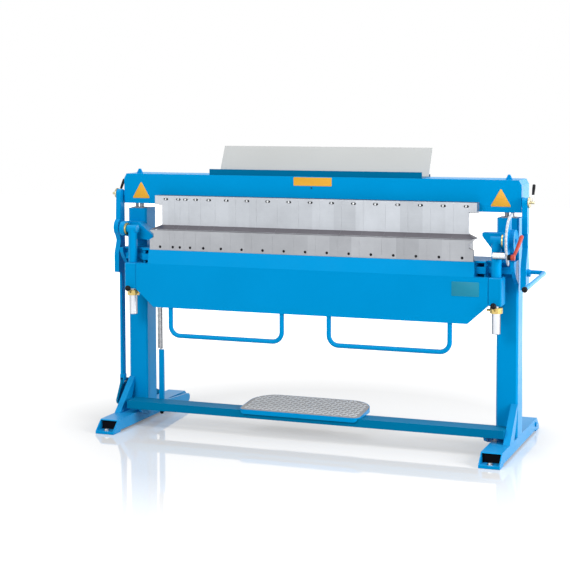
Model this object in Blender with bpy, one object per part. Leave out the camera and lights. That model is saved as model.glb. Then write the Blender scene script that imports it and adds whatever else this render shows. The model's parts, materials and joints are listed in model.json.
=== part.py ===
"""Manual box and pan brake: a folding machine with segmented tools and a foot treadle.

Metres, +Z up.  X runs along the bend line, Y from the operator into the machine.
While the pieces are made, Y = 0 is the bend line and X = 0 the middle of the frame.
"""

import bpy
import bmesh
from math import cos, pi, radians, sin
from mathutils import Matrix, Vector

# Bend line and tool widths
bend_height = 0.9250
bend_gap = 0.0020
sheet_gap = 0.0020
seat_gap = 0.0003
first_segment_width = 0.1027
narrow_segment_widths = (0.0267, 0.0452, 0.0596, 0.0739)
wide_segment_width = 0.1027
wide_segment_count = 12
segment_slit = 0.0010
horn_reach = 0.0360

# Feet: box tubes with slanted open ends on pads
foot_centre = 0.8956
foot_width = 0.0914
foot_height = 0.0580
foot_wall = 0.0045
foot_front = -0.2456
foot_rear = 0.5770
foot_slant = 0.0500
foot_lip = 0.0120
foot_pad_length = 0.0720
foot_pad_height = 0.0080
foot_bolt_inset = 0.0220
foot_bolt_radius = 0.0070

# Posts and the struts in front of them
post_front = 0.0980
post_depth = 0.1050
post_rise = 0.0900
post_width = 0.0960
post_wall = 0.0060
post_corner = 0.0080
brace_width = 0.0290
brace_height = 0.2060
brace_reach = 0.1560
brace_foot_depth = 0.0940
brace_top_depth = 0.0200

# Lower beam and the steel cheek on it
cheek_height = 0.0882
cheek_depth = 0.0730
cheek_taper = 0.0200
lower_beam_height = 0.1850
lower_beam_depth = 0.1860
lower_beam_wall = 0.0100
lower_beam_front_gap = 0.0055
lower_beam_end_notch = 0.0250
lower_beam_block_gap = 0.0090
groove_height = 0.0170
groove_depth = 0.0120
groove_drops = (0.0170, 0.0640)
beam_ear_front = 0.0350
end_plate_thickness = 0.0172
end_plate_front = 0.0070
end_plate_points = ((0.0055, 0.0240), (0.0210, 0.0470), (0.0510, 0.0770))
end_plate_drop = 0.1020

# Hinge of the folding beam
hinge_axis_x = 0.8670
pivot_radius = 0.0100
pivot_clearance = 0.0006
head_radius = 0.0190
head_half = 0.0250
washer_radius = 0.0240
washer_thickness = 0.0072
ear_gap = 0.0008
ear_thickness = 0.0217
ear_radius = 0.0340
ear_seat_depth = 0.0040
bearing_front = 0.0400
bearing_top = 0.0290
bearing_bottom = 0.0400
right_bearing_reach = 0.0720
right_bearing_tip = 0.0150
right_bearing_root = 0.0300
left_bearing_reach = 0.0860
left_bearing_drop = 0.0610
left_bearing_width = 0.0220
left_bearing_root = 0.0080

# Folding beam, from the bend line down
folding_back = -0.0015
folding_thickness = 0.0295
rail_drop = 0.0930
neck_drop = 0.0640
shoulder_drop = 0.1220
toe_drop = 0.0810
neck_inset = 0.0620
toe_inset = 0.0900
folding_top_thickness = 0.0175
folding_skin = 0.0100
rib_thickness = 0.0120
rib_bay_count = 8
pocket_margin = 0.0160
rail_thickness = 0.0165
rail_top_gap = 0.0005
rail_hole_radius = 0.0065
rail_hole_height = 0.0150
rail_hole_depth = 0.0100
rail_hole_shift = 0.0022
rail_slit_share = 0.7
horn_notch = 0.0200
horn_notch_top = 0.0175
horn_notch_bottom = 0.0440

# Spindle blocks, spindles and adjusters at the ends of the folding beam
block_half = 0.0295
block_back = 0.0450
block_corner = 0.0040
tube_radius = 0.0215
collar_thickness = 0.0055
collar_drop = 0.0470
collar_height = 0.0275
ring_drop = 0.0080
ring_height = 0.0240
ring_radius = 0.0280
spindle_radius = 0.0190
spindle_length = 0.0900
spindle_neck_radius = 0.0120
adjuster_ball_radius = 0.0130
adjuster_ball_reach = 0.0560
adjuster_ball_rise = 0.0250
adjuster_rod_radius = 0.0050
adjuster_stub_length = 0.0120

# U grips under the folding beam
grip_outer = 0.6680
grip_inner = 0.1110
grip_drop = 0.1300
grip_bend = 0.0450
grip_radius = 0.0090

# Upper beam, from the tools up
upper_overhang = 0.0137
upper_front = 0.0880
upper_depth = 0.1550
upper_height = 0.0980
upper_end_drop = 0.0420
upper_end_inner = 0.7550
upper_corner = 0.0120
upper_skin = 0.0160
upper_bay_count = 6
lug_width = 0.0360
lug_height = 0.0220
lug_tip = 0.0080
lug_thickness = 0.0100
lug_inset = 0.0630
lug_setback = 0.0360

# Upper tools
tool_front = 0.0420
tool_thickness = 0.0200
tool_height = 0.1562
tool_shoulder = 0.0200
tool_nose_land = 0.0015
tool_heel_depth = 0.0040
tool_heel_height = 0.0260
tool_flange_height = 0.0417
tool_slot_drop = 0.0165
tool_slot_shift = 0.0050
tool_slot_length = 0.0240
tool_slot_radius = 0.0055
tool_slot_depth = 0.0050
holder_depth = 0.1550
holder_height = 0.0467

# Guide rods between posts and upper beam
rod_places = ((0.0130, 0.0080), (-0.0130, 0.0100))
rod_setback = 0.0320
rod_cover = 0.0200
rod_plate_height = 0.0040
rod_plate_length = 0.0640
rod_plate_depth = 0.0400
rod_clearance = 0.0010

# Tool tray
tray_half = 0.5115
tray_inset = 0.0020
tray_depth = 0.1400
tray_lip = 0.0270
tray_sheet = 0.0020
tray_rear_lip = 0.0120
panel_setback = 0.1200
panel_inset = 0.0015
panel_height = 0.1275
panel_lean = 0.0600
panel_knee = 0.0288
panel_knee_lean = 0.0108
panel_thickness = 0.0025

# Clamp arms outside the posts
arm_gap = 0.0070
arm_thickness = 0.0240
arm_centre = 0.0830
arm_half_width = 0.0210
arm_length = 0.3730
arm_foot_front = 0.0430
arm_foot_back = 0.0240
arm_knee_height = 0.0900
arm_hub_radius = 0.0450
arm_hub_shift = 0.0060
arm_waist_drop = 0.0620
arm_neck_rise = 0.0260
arm_neck_drop = 0.0350
arm_neck_radius = 0.0100
eccentric_drop = 0.0950
eccentric_radius = 0.0250
eccentric_thickness = 0.0160
eccentric_hub_radius = 0.0130
eccentric_hub_length = 0.0100
eccentric_rod_radius = 0.0050
eccentric_boss_radius = 0.0200
lever_angles = {"left": 37.0, "right": 84.0}
lever_lengths = {"left": 0.0960, "right": 0.0780}

# Pull strip from the left clamp arm down to the treadle
strip_thickness = 0.0120
strip_front = 0.0690
strip_depth = 0.0380
strip_eye_gap = 0.0075

# Angle plate, scale and stop lever at the right end
plate_thickness = 0.0080
plate_radius = 0.1030
scale_radius = 0.1190
scale_offset = 0.0060
scale_thickness = 0.0070
plate_start = 84.0
plate_end = 236.0
drum_radius = 0.0500
drum_length = 0.0200
plate_recess_radius = 0.0250
plate_recess_depth = 0.0120
drum_bore_radius = 0.0150
drum_bore_depth = 0.0080
stop_radius = 0.1100
stop_angle = 213.0
stop_knob_radius = 0.0120
stop_knob_length = 0.0130
stop_hub_radius = 0.0130
stop_hub_length = 0.0180
stop_arm_radius = 0.0060
stop_arm_rise = 0.0900
stop_arm_side = 0.0240
stop_arm_depth = 0.0500

# Hand lever on the right clamp arm
hand_rise = 0.0700
hand_hub_radius = 0.0200
hand_hub_length = 0.0140
hand_bar_radius = 0.0085
hand_bar_side = 0.0560
hand_bar_reach = 0.4080
hand_bar_drop = 0.0185
hand_bar_bend = 0.0250
hand_ball_radius = 0.0125

# Treadle
treadle_front = -0.0400
treadle_depth = 0.0950
treadle_bottom = 0.0800
treadle_height = 0.0360
treadle_end_gap = 0.0280
treadle_wall = 0.0050
treadle_pivot_y = 0.5000
treadle_pivot_z = 0.0330
treadle_pin_radius = 0.0110
treadle_pin_clearance = 0.0010
treadle_arm_thickness = 0.0120
treadle_arm_side = 0.0140
treadle_arm_eye = 0.0200
treadle_arm_depth = 0.0400
treadle_arm_inset = 0.0120
treadle_arm_slope = 0.0180
strap_pin_radius = 0.0060
strap_pin_gap = 0.0020
crank_eye = 0.0220
crank_thickness = 0.0100
crank_top = 0.1900
crank_head_depth = 0.0650
crank_nose = 0.0490
crank_nose_foot = 0.0455
crank_nose_top = 0.1010
crank_nose_bottom = 0.0880
crank_heel = 0.0110
crank_heel_bottom = 0.0640
bumper_x = -0.7350
bumper_width = 0.0260
bumper_depth = 0.0400
bumper_height = 0.0220
tread_left = -0.3050
tread_right = 0.2600
tread_front = -0.0700
tread_depth = 0.2450
tread_slope = 5.4
tread_corner = 0.0450
tread_thickness = 0.0030
tread_pan_thickness = 0.0100
tread_rim = 0.0030
tread_gap = 0.0010
tread_rib_depth = 0.0120
tread_rib_setback = 0.0340

# Return spring and its strap
spring_x = -0.7755
spring_y = 0.0950
spring_radius = 0.0115
spring_wire = 0.0020
spring_turns = 27
spring_steps = 9
spring_hook = 0.0120
strap_shift = 0.0075
strap_width = 0.0250
strap_thickness = 0.0100
strap_bottom = 0.0450
strap_length = 0.3000

# Reach of a cutter past the face it cuts
overcut = 0.0100

# Heights worked out from the bend line
tool_bottom = bend_height + seat_gap + 0.0002
cheek_top = tool_bottom - sheet_gap
lower_beam_top = cheek_top - cheek_height - seat_gap
lower_beam_bottom = lower_beam_top - lower_beam_height
post_top = bend_height + post_rise
folding_top = bend_height - rail_drop
folding_shoulder = folding_top - neck_drop
folding_foot_end = folding_shoulder - shoulder_drop
folding_bottom = folding_foot_end - toe_drop
ring_top = folding_foot_end - ring_drop
ring_bottom = ring_top - ring_height
tool_top = tool_bottom + tool_height
upper_mid_bottom = tool_top + seat_gap
upper_end_bottom = upper_mid_bottom - upper_end_drop
upper_top = upper_mid_bottom + upper_height
rod_top = upper_top - rod_cover
eccentric_height = upper_top - eccentric_drop
arm_top = eccentric_height + arm_half_width
arm_bottom = eccentric_height - arm_length
hand_height = arm_bottom + hand_rise
treadle_top = treadle_bottom + treadle_height
strap_top = strap_bottom + strap_length
strip_bottom = crank_top + strip_eye_gap

# Widths and depths worked out the same way
tool_half = (first_segment_width + sum(narrow_segment_widths)
             + wide_segment_width * wide_segment_count) / 2
body_half = tool_half - horn_reach
post_back = post_front + post_depth
post_outer = foot_centre + foot_width / 2
post_inner = post_outer - post_width
upper_half = post_outer + upper_overhang
lower_beam_front = folding_back + lower_beam_front_gap
lower_beam_back = lower_beam_front + lower_beam_depth
folding_front = folding_back - folding_thickness
block_inner = hinge_axis_x - block_half
block_outer = hinge_axis_x + block_half
head_outer = hinge_axis_x + max(head_half, tube_radius)
washer_outer = head_outer + seat_gap + washer_thickness
ear_inner = washer_outer + ear_gap
ear_outer = ear_inner + ear_thickness
arm_inner = upper_half + arm_gap
rod_y = upper_front + 0.0100 + rod_setback
eccentric_y = arm_centre
treadle_half = post_outer - brace_width - treadle_end_gap
foot_centres = {"left": -foot_centre, "right": foot_centre}
side_signs = {"left": -1, "right": 1}


def material(name, colour, roughness, metallic=0.0):
    mat = bpy.data.materials.new(name)
    mat.use_nodes = True
    shader = mat.node_tree.nodes["Principled BSDF"]
    shader.inputs["Base Color"].default_value = (*colour, 1.0)
    shader.inputs["Roughness"].default_value = roughness
    shader.inputs["Metallic"].default_value = metallic
    return mat


def finish(name, bm, mat, smooth_angle=None):
    """Turn a bmesh into an object with outward faces and one material."""
    bmesh.ops.recalc_face_normals(bm, faces=bm.faces)
    mesh = bpy.data.meshes.new(name)
    bm.to_mesh(mesh)
    bm.free()
    if mat is not None:
        mesh.materials.append(mat)
    if smooth_angle is not None:
        mesh.shade_smooth()
        mesh.set_sharp_from_angle(angle=radians(smooth_angle))
    obj = bpy.data.objects.new(name, mesh)
    bpy.context.collection.objects.link(obj)
    return obj


def place_on_axis(axis, across, along):
    """A point from its two coordinates across an axis and its place along it."""
    if axis == "X":
        return Vector((along, across[0], across[1]))
    if axis == "Y":
        return Vector((across[0], along, across[1]))
    return Vector((across[0], across[1], along))


def prism(name, outline, axis, start, end, mat=None, bevel=0.0, smooth_angle=None):
    """Extrude an outline along X (y, z), Y (x, z) or Z (x, y)."""
    bm = bmesh.new()
    near = [bm.verts.new(place_on_axis(axis, point, start)) for point in outline]
    far = [bm.verts.new(place_on_axis(axis, point, end)) for point in outline]
    bm.faces.new(near)
    bm.faces.new(reversed(far))
    for index in range(len(outline)):
        after = (index + 1) % len(outline)
        bm.faces.new((near[index], far[index], far[after], near[after]))
    if bevel > 0.0:
        bmesh.ops.bevel(bm, geom=list(bm.edges), offset=bevel, segments=1, affect="EDGES",
                        clamp_overlap=True)
    return finish(name, bm, mat, smooth_angle)


def block(name, x_range, y_range, z_range, mat=None, bevel=0.0):
    outline = [(y_range[0], z_range[0]), (y_range[1], z_range[0]),
               (y_range[1], z_range[1]), (y_range[0], z_range[1])]
    return prism(name, outline, "X", x_range[0], x_range[1], mat, bevel)


def turned(name, profile, axis, centre, mat=None, sides=24):
    """Revolve (radius, place along the axis) about an axis through centre."""
    bm = bmesh.new()
    rings = []
    for radius, along in profile:
        if radius < 1e-6:
            rings.append([bm.verts.new(place_on_axis(axis, centre, along))])
            continue
        ring = []
        for step in range(sides):
            angle = 2 * pi * step / sides
            across = (centre[0] + radius * cos(angle), centre[1] + radius * sin(angle))
            ring.append(bm.verts.new(place_on_axis(axis, across, along)))
        rings.append(ring)
    for lower, upper in zip(rings, rings[1:]):
        for step in range(sides):
            after = (step + 1) % sides
            if len(lower) == 1:
                bm.faces.new((lower[0], upper[step], upper[after]))
            elif len(upper) == 1:
                bm.faces.new((lower[step], upper[0], lower[after]))
            else:
                bm.faces.new((lower[step], upper[step], upper[after], lower[after]))
    return finish(name, bm, mat, 35.0)


def rod(name, radius, axis, centre, start, end, mat=None, sides=20):
    return turned(name, [(0, start), (radius, start), (radius, end), (0, end)], axis, centre, mat, sides)


def tube_ring(name, inner, outer, axis, centre, start, end, mat, sides=28):
    """A ring with a bore, from a closed profile turned about its axis."""
    bm = bmesh.new()
    corners = [(inner, start), (outer, start), (outer, end), (inner, end)]
    rings = []
    for step in range(sides):
        angle = 2 * pi * step / sides
        ring = []
        for radius, along in corners:
            across = (centre[0] + radius * cos(angle), centre[1] + radius * sin(angle))
            ring.append(bm.verts.new(place_on_axis(axis, across, along)))
        rings.append(ring)
    for step in range(sides):
        here, after = rings[step], rings[(step + 1) % sides]
        for corner in range(4):
            other = (corner + 1) % 4
            bm.faces.new((here[corner], here[other], after[other], after[corner]))
    return finish(name, bm, mat, 35.0)


def ball(name, radius, centre, mat=None, sides=16):
    steps = 8
    profile = [(radius * sin(pi * step / steps), centre[2] - radius * cos(pi * step / steps))
               for step in range(steps + 1)]
    profile[0] = (0.0, centre[2] - radius)
    profile[-1] = (0.0, centre[2] + radius)
    return turned(name, profile, "Z", (centre[0], centre[1]), mat, sides)


def rounded_path(points, radius, steps=6):
    """Replace each inner corner of a polyline by an arc."""
    path = [Vector(points[0])]
    for before, corner, after in zip(points, points[1:], points[2:]):
        corner = Vector(corner)
        inward = (Vector(before) - corner).normalized()
        outward = (Vector(after) - corner).normalized()
        half = inward.angle(outward) / 2
        reach = radius * cos(half) / sin(half)
        centre = corner + (inward + outward).normalized() * (radius / sin(half))
        first = corner + inward * reach - centre
        last = corner + outward * reach - centre
        turn = first.angle(last)
        for step in range(steps + 1):
            share = step / steps
            spoke = (first * sin((1 - share) * turn) + last * sin(share * turn)) / sin(turn)
            path.append(centre + spoke)
    path.append(Vector(points[-1]))
    return path


def sweep(name, path, radius, mat=None, sides=10):
    """A round bar along a path, with flat ends."""
    bm = bmesh.new()
    tangents = []
    for index in range(len(path)):
        ahead = path[min(index + 1, len(path) - 1)]
        behind = path[max(index - 1, 0)]
        tangents.append((ahead - behind).normalized())
    side = tangents[0].orthogonal().normalized()
    rings = []
    for point, tangent in zip(path, tangents):
        side = (side - tangent * side.dot(tangent)).normalized()
        up = tangent.cross(side)
        ring = []
        for step in range(sides):
            angle = 2 * pi * step / sides
            ring.append(bm.verts.new(point + (side * cos(angle) + up * sin(angle)) * radius))
        rings.append(ring)
    for lower, upper in zip(rings, rings[1:]):
        for step in range(sides):
            after = (step + 1) % sides
            bm.faces.new((lower[step], upper[step], upper[after], lower[after]))
    bm.faces.new(rings[0])
    bm.faces.new(reversed(rings[-1]))
    return finish(name, bm, mat, 50.0)


def arc(centre, radius, start, end, steps):
    """Points on an arc, angles in degrees."""
    points = []
    for step in range(steps + 1):
        angle = radians(start + (end - start) * step / steps)
        points.append((centre[0] + radius * cos(angle), centre[1] + radius * sin(angle)))
    return points


def combine(obj, others, operation):
    """Boolean other solids into obj, keep the result and remove them."""
    for other in others:
        modifier = obj.modifiers.new(operation.title(), "BOOLEAN")
        modifier.operation = operation
        modifier.object = other
        other.hide_render = True
        other.display_type = "WIRE"
    depsgraph = bpy.context.evaluated_depsgraph_get()
    solid = bpy.data.meshes.new_from_object(obj.evaluated_get(depsgraph))
    obj.modifiers.clear()
    obj.data = solid
    for other in others:
        bpy.data.objects.remove(other)
    return obj


def cut(obj, cutters):
    return combine(obj, cutters, "DIFFERENCE")


def join(obj, others):
    return combine(obj, others, "UNION")


def mirrored(points, sign):
    return [(sign * x, other) for x, other in points]


def pivot(name, location, parent):
    """An empty on a joint's axis that carries one moving group."""
    empty = bpy.data.objects.new(name, None)
    empty.empty_display_size = 0.05
    bpy.context.collection.objects.link(empty)
    empty.location = location
    empty.parent = parent
    return empty


def mount_on(pivot_object, pivot_point, pieces):
    """Move each piece's origin onto the pivot and parent it there."""
    for piece in pieces:
        piece.data.transform(Matrix.Translation(-Vector(pivot_point)))
        piece.parent = pivot_object


def segment_edges():
    """X of each joint between neighbouring tool segments, and of each segment's middle."""
    widths = [first_segment_width, *narrow_segment_widths]
    widths += [wide_segment_width] * wide_segment_count
    place = -tool_half
    joints = []
    middles = []
    for width in widths:
        middles.append(place + width / 2)
        place += width
        joints.append(place)
    return joints[:-1], middles


# Feet, posts and braces

def foot(side, paint):
    centre = foot_centres[side]
    inner, outer = centre - foot_width / 2, centre + foot_width / 2
    pad_back = foot_front + foot_pad_length
    pad_front = foot_rear - foot_pad_length
    outline = [(foot_front, 0.0), (pad_back, 0.0), (pad_back, foot_pad_height),
               (pad_front, foot_pad_height), (pad_front, 0.0), (foot_rear, 0.0),
               (foot_rear, foot_lip), (foot_rear - foot_slant, foot_height),
               (foot_front + foot_slant, foot_height), (foot_front, foot_lip)]
    body = prism(side + "_foot", outline, "X", inner, outer, paint)
    hollow = block("hollow", (inner + foot_wall, outer - foot_wall),
                   (foot_front - overcut, foot_rear + overcut),
                   (foot_pad_height + foot_wall, foot_height - foot_wall))
    bolts = [rod("bolt_hole", foot_bolt_radius, "Z", (centre, y), -overcut, foot_height / 2, sides=12)
             for y in (foot_front + foot_bolt_inset, foot_rear - foot_bolt_inset)]
    pin_hole = rod("pin_hole", treadle_pin_radius + treadle_pin_clearance, "X",
                   (treadle_pivot_y, treadle_pivot_z), inner - overcut, outer + overcut, sides=16)
    return cut(body, [hollow, *bolts, pin_hole])


def post(side, paint):
    inner, outer = sorted((side_signs[side] * post_inner, side_signs[side] * post_outer))
    corner = post_corner
    outline = [(inner + corner, post_front), (outer - corner, post_front), (outer, post_front + corner),
               (outer, post_back - corner), (outer - corner, post_back), (inner + corner, post_back),
               (inner, post_back - corner), (inner, post_front + corner)]
    body = prism(side + "_post", outline, "Z", foot_height + seat_gap, post_top, paint)
    hollow = block("hollow", (inner + post_wall, outer - post_wall),
                   (post_front + post_wall, post_back - post_wall), (0.0, post_top - post_wall))
    return cut(body, [hollow])


def brace(side, paint):
    """Wedge-shaped strut from the post's front down to the top of the foot."""
    sign = side_signs[side]
    rear = post_front - seat_gap
    base = foot_height + seat_gap
    front = rear - brace_reach
    outline = [(rear, brace_height), (front, base), (front + brace_foot_depth, base),
               (rear - brace_top_depth, (base + brace_height) / 2), (rear, brace_height - brace_top_depth)]
    edges = sorted((sign * post_outer, sign * (post_outer - brace_width)))
    return prism(side + "_brace", outline, "X", edges[0], edges[1], paint)


# Lower beam, cheek and bearings

def lower_beam(paint):
    """Box beam, open below between its ribs, with grooves in front near the ends."""
    front, back = lower_beam_front, lower_beam_back
    notch = block_back + lower_beam_block_gap
    wide = post_inner - seat_gap
    narrow = wide - lower_beam_end_notch
    outline = [(-narrow, front), (narrow, front), (narrow, notch), (wide, notch),
               (wide, back), (-wide, back), (-wide, notch), (-narrow, notch)]
    body = prism("lower_beam", outline, "Z", lower_beam_bottom, lower_beam_top, paint)
    wall = lower_beam_wall
    ribs = (-narrow + wall / 2, spring_x, 0.0, -spring_x, narrow - wall / 2)
    cutters = [block("hollow", (left + wall / 2, right - wall / 2), (front + wall, back - wall),
                     (lower_beam_bottom - overcut, lower_beam_top - wall))
               for left, right in zip(ribs, ribs[1:])]
    neck = block_inner - neck_inset
    ear_bottom = lower_beam_top - groove_drops[1] + groove_height / 2
    ear_back = post_front - seat_gap
    ears = []
    for sign in (-1, 1):
        edges = sorted((sign * (narrow - wall), sign * post_outer))
        ears.append(block("ear", edges, (beam_ear_front, ear_back), (ear_bottom, lower_beam_top)))
        edges = sorted((sign * (post_outer - end_plate_thickness), sign * post_outer))
        ears.append(prism("end_plate", end_plate_outline(), "X", edges[0], edges[1]))
        for drop in groove_drops:
            height = lower_beam_top - drop
            low, high = height - groove_height / 2, height + groove_height / 2
            edges = sorted((sign * (neck + bend_gap), sign * narrow))
            cutters.append(block("groove", edges, (front - overcut, front + groove_depth), (low, high)))
        edges = sorted((sign * narrow, sign * (post_outer - end_plate_thickness)))
        high = lower_beam_top - groove_drops[0] + groove_height / 2
        cutters.append(block("ear_groove", edges, (front - overcut, beam_ear_front + groove_depth),
                             (high - groove_height, high)))
    return cut(join(body, ears), cutters)


def end_plate_outline():
    """Side outline of the plates that close the lower beam in front of the posts."""
    top = lower_beam_top
    back = post_front - seat_gap
    points = [(back, top), (end_plate_front, top)]
    points += [(end_plate_front + step, top - drop) for step, drop in end_plate_points]
    return points + [(back, top - end_plate_drop)]


def lower_cheek(steel):
    """Clamping cheek on the lower beam, with its rear top edge bevelled."""
    front = bend_gap
    back = front + cheek_depth
    bottom = cheek_top - cheek_height
    outline = [(front, bottom), (back, bottom), (back, cheek_top - cheek_taper),
               (back - cheek_taper, cheek_top), (front, cheek_top)]
    return prism("lower_cheek", outline, "X", -tool_half, tool_half, steel)


def bearing_outline(side):
    """Front outline of a bearing bracket, as distances from the middle and heights."""
    top = bend_height + bearing_top
    bottom = bend_height - bearing_bottom
    if side == "right":
        tip = hinge_axis_x - right_bearing_reach
        root = hinge_axis_x - right_bearing_root
        return [(tip, top), (ear_outer, top), (ear_outer, bottom), (root, bottom), (tip, top - right_bearing_tip)]
    tip = hinge_axis_x - left_bearing_reach
    drop = top - left_bearing_drop
    low = drop - left_bearing_width
    return [(hinge_axis_x - left_bearing_root, top), (ear_outer, top), (ear_outer, bottom),
            (tip + left_bearing_width * 1.4, low), (tip + left_bearing_width / 3, low), (tip, drop)]


def hinge_bearing(side, paint):
    """Bracket on the post's front that carries the folding beam's pivot pin."""
    sign = side_signs[side]
    z = bend_height
    outline = mirrored(bearing_outline(side), sign)
    web = prism(side + "_hinge_bearing", outline, "Y", bearing_front, post_front - seat_gap, paint)
    seat = bearing_front + ear_seat_depth
    ear_outline = [(seat, z - ear_radius), (seat, z + ear_radius)]
    ear_outline += arc((0.0, z), ear_radius, 90, 270, 10)
    edges = sorted((sign * ear_inner, sign * ear_outer))
    ear = prism("ear", ear_outline, "X", edges[0], edges[1])
    joined = join(web, [ear])
    bore = rod("bore", pivot_radius + pivot_clearance, "X", (0.0, z),
               edges[0] - overcut, edges[1] + overcut, sides=20)
    return cut(joined, [bore])


def guide_rods(side, steel):
    """Two round guide rods on a foot plate, standing on the post."""
    sign = side_signs[side]
    base = post_top + seat_gap
    plate = block(side + "_guide_rods",
                  (sign * foot_centre - rod_plate_length / 2, sign * foot_centre + rod_plate_length / 2),
                  (rod_y - rod_plate_depth / 2, rod_y + rod_plate_depth / 2),
                  (base, base + rod_plate_height), steel)
    rods = [rod("rod", radius, "Z", (sign * (foot_centre + offset), rod_y),
                base + rod_plate_height / 2, rod_top, sides=16)
            for offset, radius in rod_places]
    return join(plate, rods)


def angle_plate(paint):
    """Blue sector plate with a drum on the hinge axis, outside the right bearing."""
    axis = (0.0, bend_height)
    start = ear_outer + seat_gap
    outline = arc(axis, plate_radius, plate_start, plate_end, 22)
    outline += arc(axis, drum_radius * 0.8, plate_end, plate_start + 360, 8)
    plate = prism("angle_plate", outline, "X", start, start + plate_thickness, paint)
    drum = rod("drum", drum_radius, "X", axis, start + plate_thickness / 2, drum_outer(), sides=28)
    joined = join(plate, [drum])
    recess = rod("recess", plate_recess_radius, "X", axis, start - overcut, start + plate_recess_depth,
                 sides=20)
    bore = rod("bore", drum_bore_radius, "X", axis, drum_outer() - drum_bore_depth, drum_outer() + overcut,
               sides=16)
    return cut(joined, [recess, bore])


def drum_outer():
    return ear_outer + seat_gap + plate_thickness + drum_length


def angle_scale(white):
    """Graduated arc round the rim of the angle plate."""
    axis = (0.0, bend_height)
    start = ear_outer + seat_gap + scale_offset
    outline = arc(axis, scale_radius, plate_start, plate_end, 26)
    outline += arc(axis, plate_radius + seat_gap, plate_end, plate_start, 26)
    return prism("angle_scale", outline, "X", start, start + scale_thickness, white, smooth_angle=40.0)


def return_spring(steel):
    """Tension spring from the lower beam down to the strap, with a straight hook at each end."""
    bottom = strap_top + seat_gap
    top = lower_beam_bottom - seat_gap
    path = [Vector((spring_x, spring_y, bottom)), Vector((spring_x, spring_y, bottom + spring_hook / 2))]
    count = spring_turns * spring_steps
    for step in range(count + 1):
        angle = 2 * pi * step / spring_steps
        height = bottom + spring_hook + (top - bottom - 2 * spring_hook) * step / count
        path.append(Vector((spring_x + spring_radius * cos(angle),
                            spring_y + spring_radius * sin(angle), height)))
    path += [Vector((spring_x, spring_y, top - spring_hook / 2)), Vector((spring_x, spring_y, top))]
    return sweep("return_spring", path, spring_wire, steel, sides=5)


# Folding beam and what it carries

def folding_outline():
    """Right half of the front plate, from its top middle round to its bottom middle."""
    half = block_inner - seat_gap
    return [(half - neck_inset, folding_top), (half - neck_inset, folding_shoulder),
            (half, folding_shoulder), (half, folding_foot_end), (half - toe_inset, folding_bottom)]


def folding_beam(paint):
    """Deep front plate, thinner at its neck, with ribs left between pockets at the back."""
    right = folding_outline()
    outline = right + mirrored(list(reversed(right)), -1)
    body = prism("folding_beam", outline, "Y", folding_front, folding_back, paint)
    thin = folding_back - folding_top_thickness
    before = folding_front - overcut
    above = folding_top + overcut
    taper = [(before, above), (before, folding_shoulder), (folding_front, folding_shoulder),
             (thin, folding_top), (thin, above)]
    cutters = [prism("taper", taper, "X", -block_inner, block_inner)]
    toe_half = block_inner - seat_gap - toe_inset
    pitch = 2 * toe_half / rib_bay_count
    for bay in range(rib_bay_count):
        left = -toe_half + bay * pitch + rib_thickness / 2
        cutters.append(block("pocket", (left, left + pitch - rib_thickness),
                             (folding_front + folding_skin, folding_back + overcut),
                             (folding_bottom + pocket_margin, folding_shoulder - pocket_margin)))
    return cut(body, cutters)


def folding_rail(steel):
    """Segmented rail on the folding beam, with horned ends, slits and a hole in each segment."""
    bottom = folding_top + seat_gap
    top = bend_height - rail_top_gap
    back = -bend_gap / 4
    front = back - rail_thickness
    body = block("folding_rail", (-tool_half, tool_half), (front, back), (bottom, top), steel)
    joints, middles = segment_edges()
    cutters = []
    inner = tool_half - horn_notch
    for sign in (-1, 1):
        notch = [(tool_half + overcut, top - bend_gap), (tool_half, top - bend_gap),
                 (inner, top - horn_notch_top), (inner, top - horn_notch_bottom + horn_notch / 2),
                 (tool_half, top - horn_notch_bottom), (tool_half + overcut, top - horn_notch_bottom)]
        cutters.append(prism("notch", mirrored(notch, sign), "Y", front - overcut, overcut))
    for x in middles:
        cutters.append(rod("hole", rail_hole_radius, "Y", (x + rail_hole_shift, bottom + rail_hole_height),
                           front - overcut, front + rail_hole_depth, sides=10))
    for x in joints:
        cutters.append(block("slit", (x - segment_slit / 2, x + segment_slit / 2),
                             (front - overcut, front + rail_thickness * rail_slit_share),
                             (bottom + rail_hole_height / 3, top + overcut)))
    return cut(body, cutters)


def spindle_block(side, paint):
    edges = sorted((side_signs[side] * block_inner, side_signs[side] * block_outer))
    return block(side + "_spindle_block", edges, (folding_front, block_back),
                 (folding_foot_end, folding_shoulder), paint, bevel=block_corner)


def hinge_head(side, paint):
    """Upright tube on the spindle block with the pivot head and pin across its top."""
    sign = side_signs[side]
    centre = (sign * hinge_axis_x, 0.0)
    body = rod(side + "_hinge_head", tube_radius, "Z", centre, folding_shoulder + seat_gap,
               bend_height, paint, sides=24)
    edges = sorted((sign * (hinge_axis_x - head_half), sign * head_outer))
    head = rod("head", head_radius, "X", (0.0, bend_height), edges[0], edges[1], sides=24)
    edges = sorted((sign * hinge_axis_x, sign * ear_outer))
    pin = rod("pin", pivot_radius, "X", (0.0, bend_height), edges[0], edges[1], sides=20)
    return join(body, [head, pin])


def hinge_washer(side, brass):
    sign = side_signs[side]
    edges = sorted((sign * (head_outer + seat_gap), sign * washer_outer))
    return tube_ring(side + "_hinge_washer", pivot_radius + seat_gap, washer_radius, "X",
                     (0.0, bend_height), edges[0], edges[1], brass)


def collar(steel):
    top = bend_height - collar_drop
    inner = tube_radius + seat_gap
    return tube_ring("spindle_collar", inner, inner + collar_thickness, "Z", (hinge_axis_x, 0.0),
                     top - collar_height, top, steel)


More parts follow.
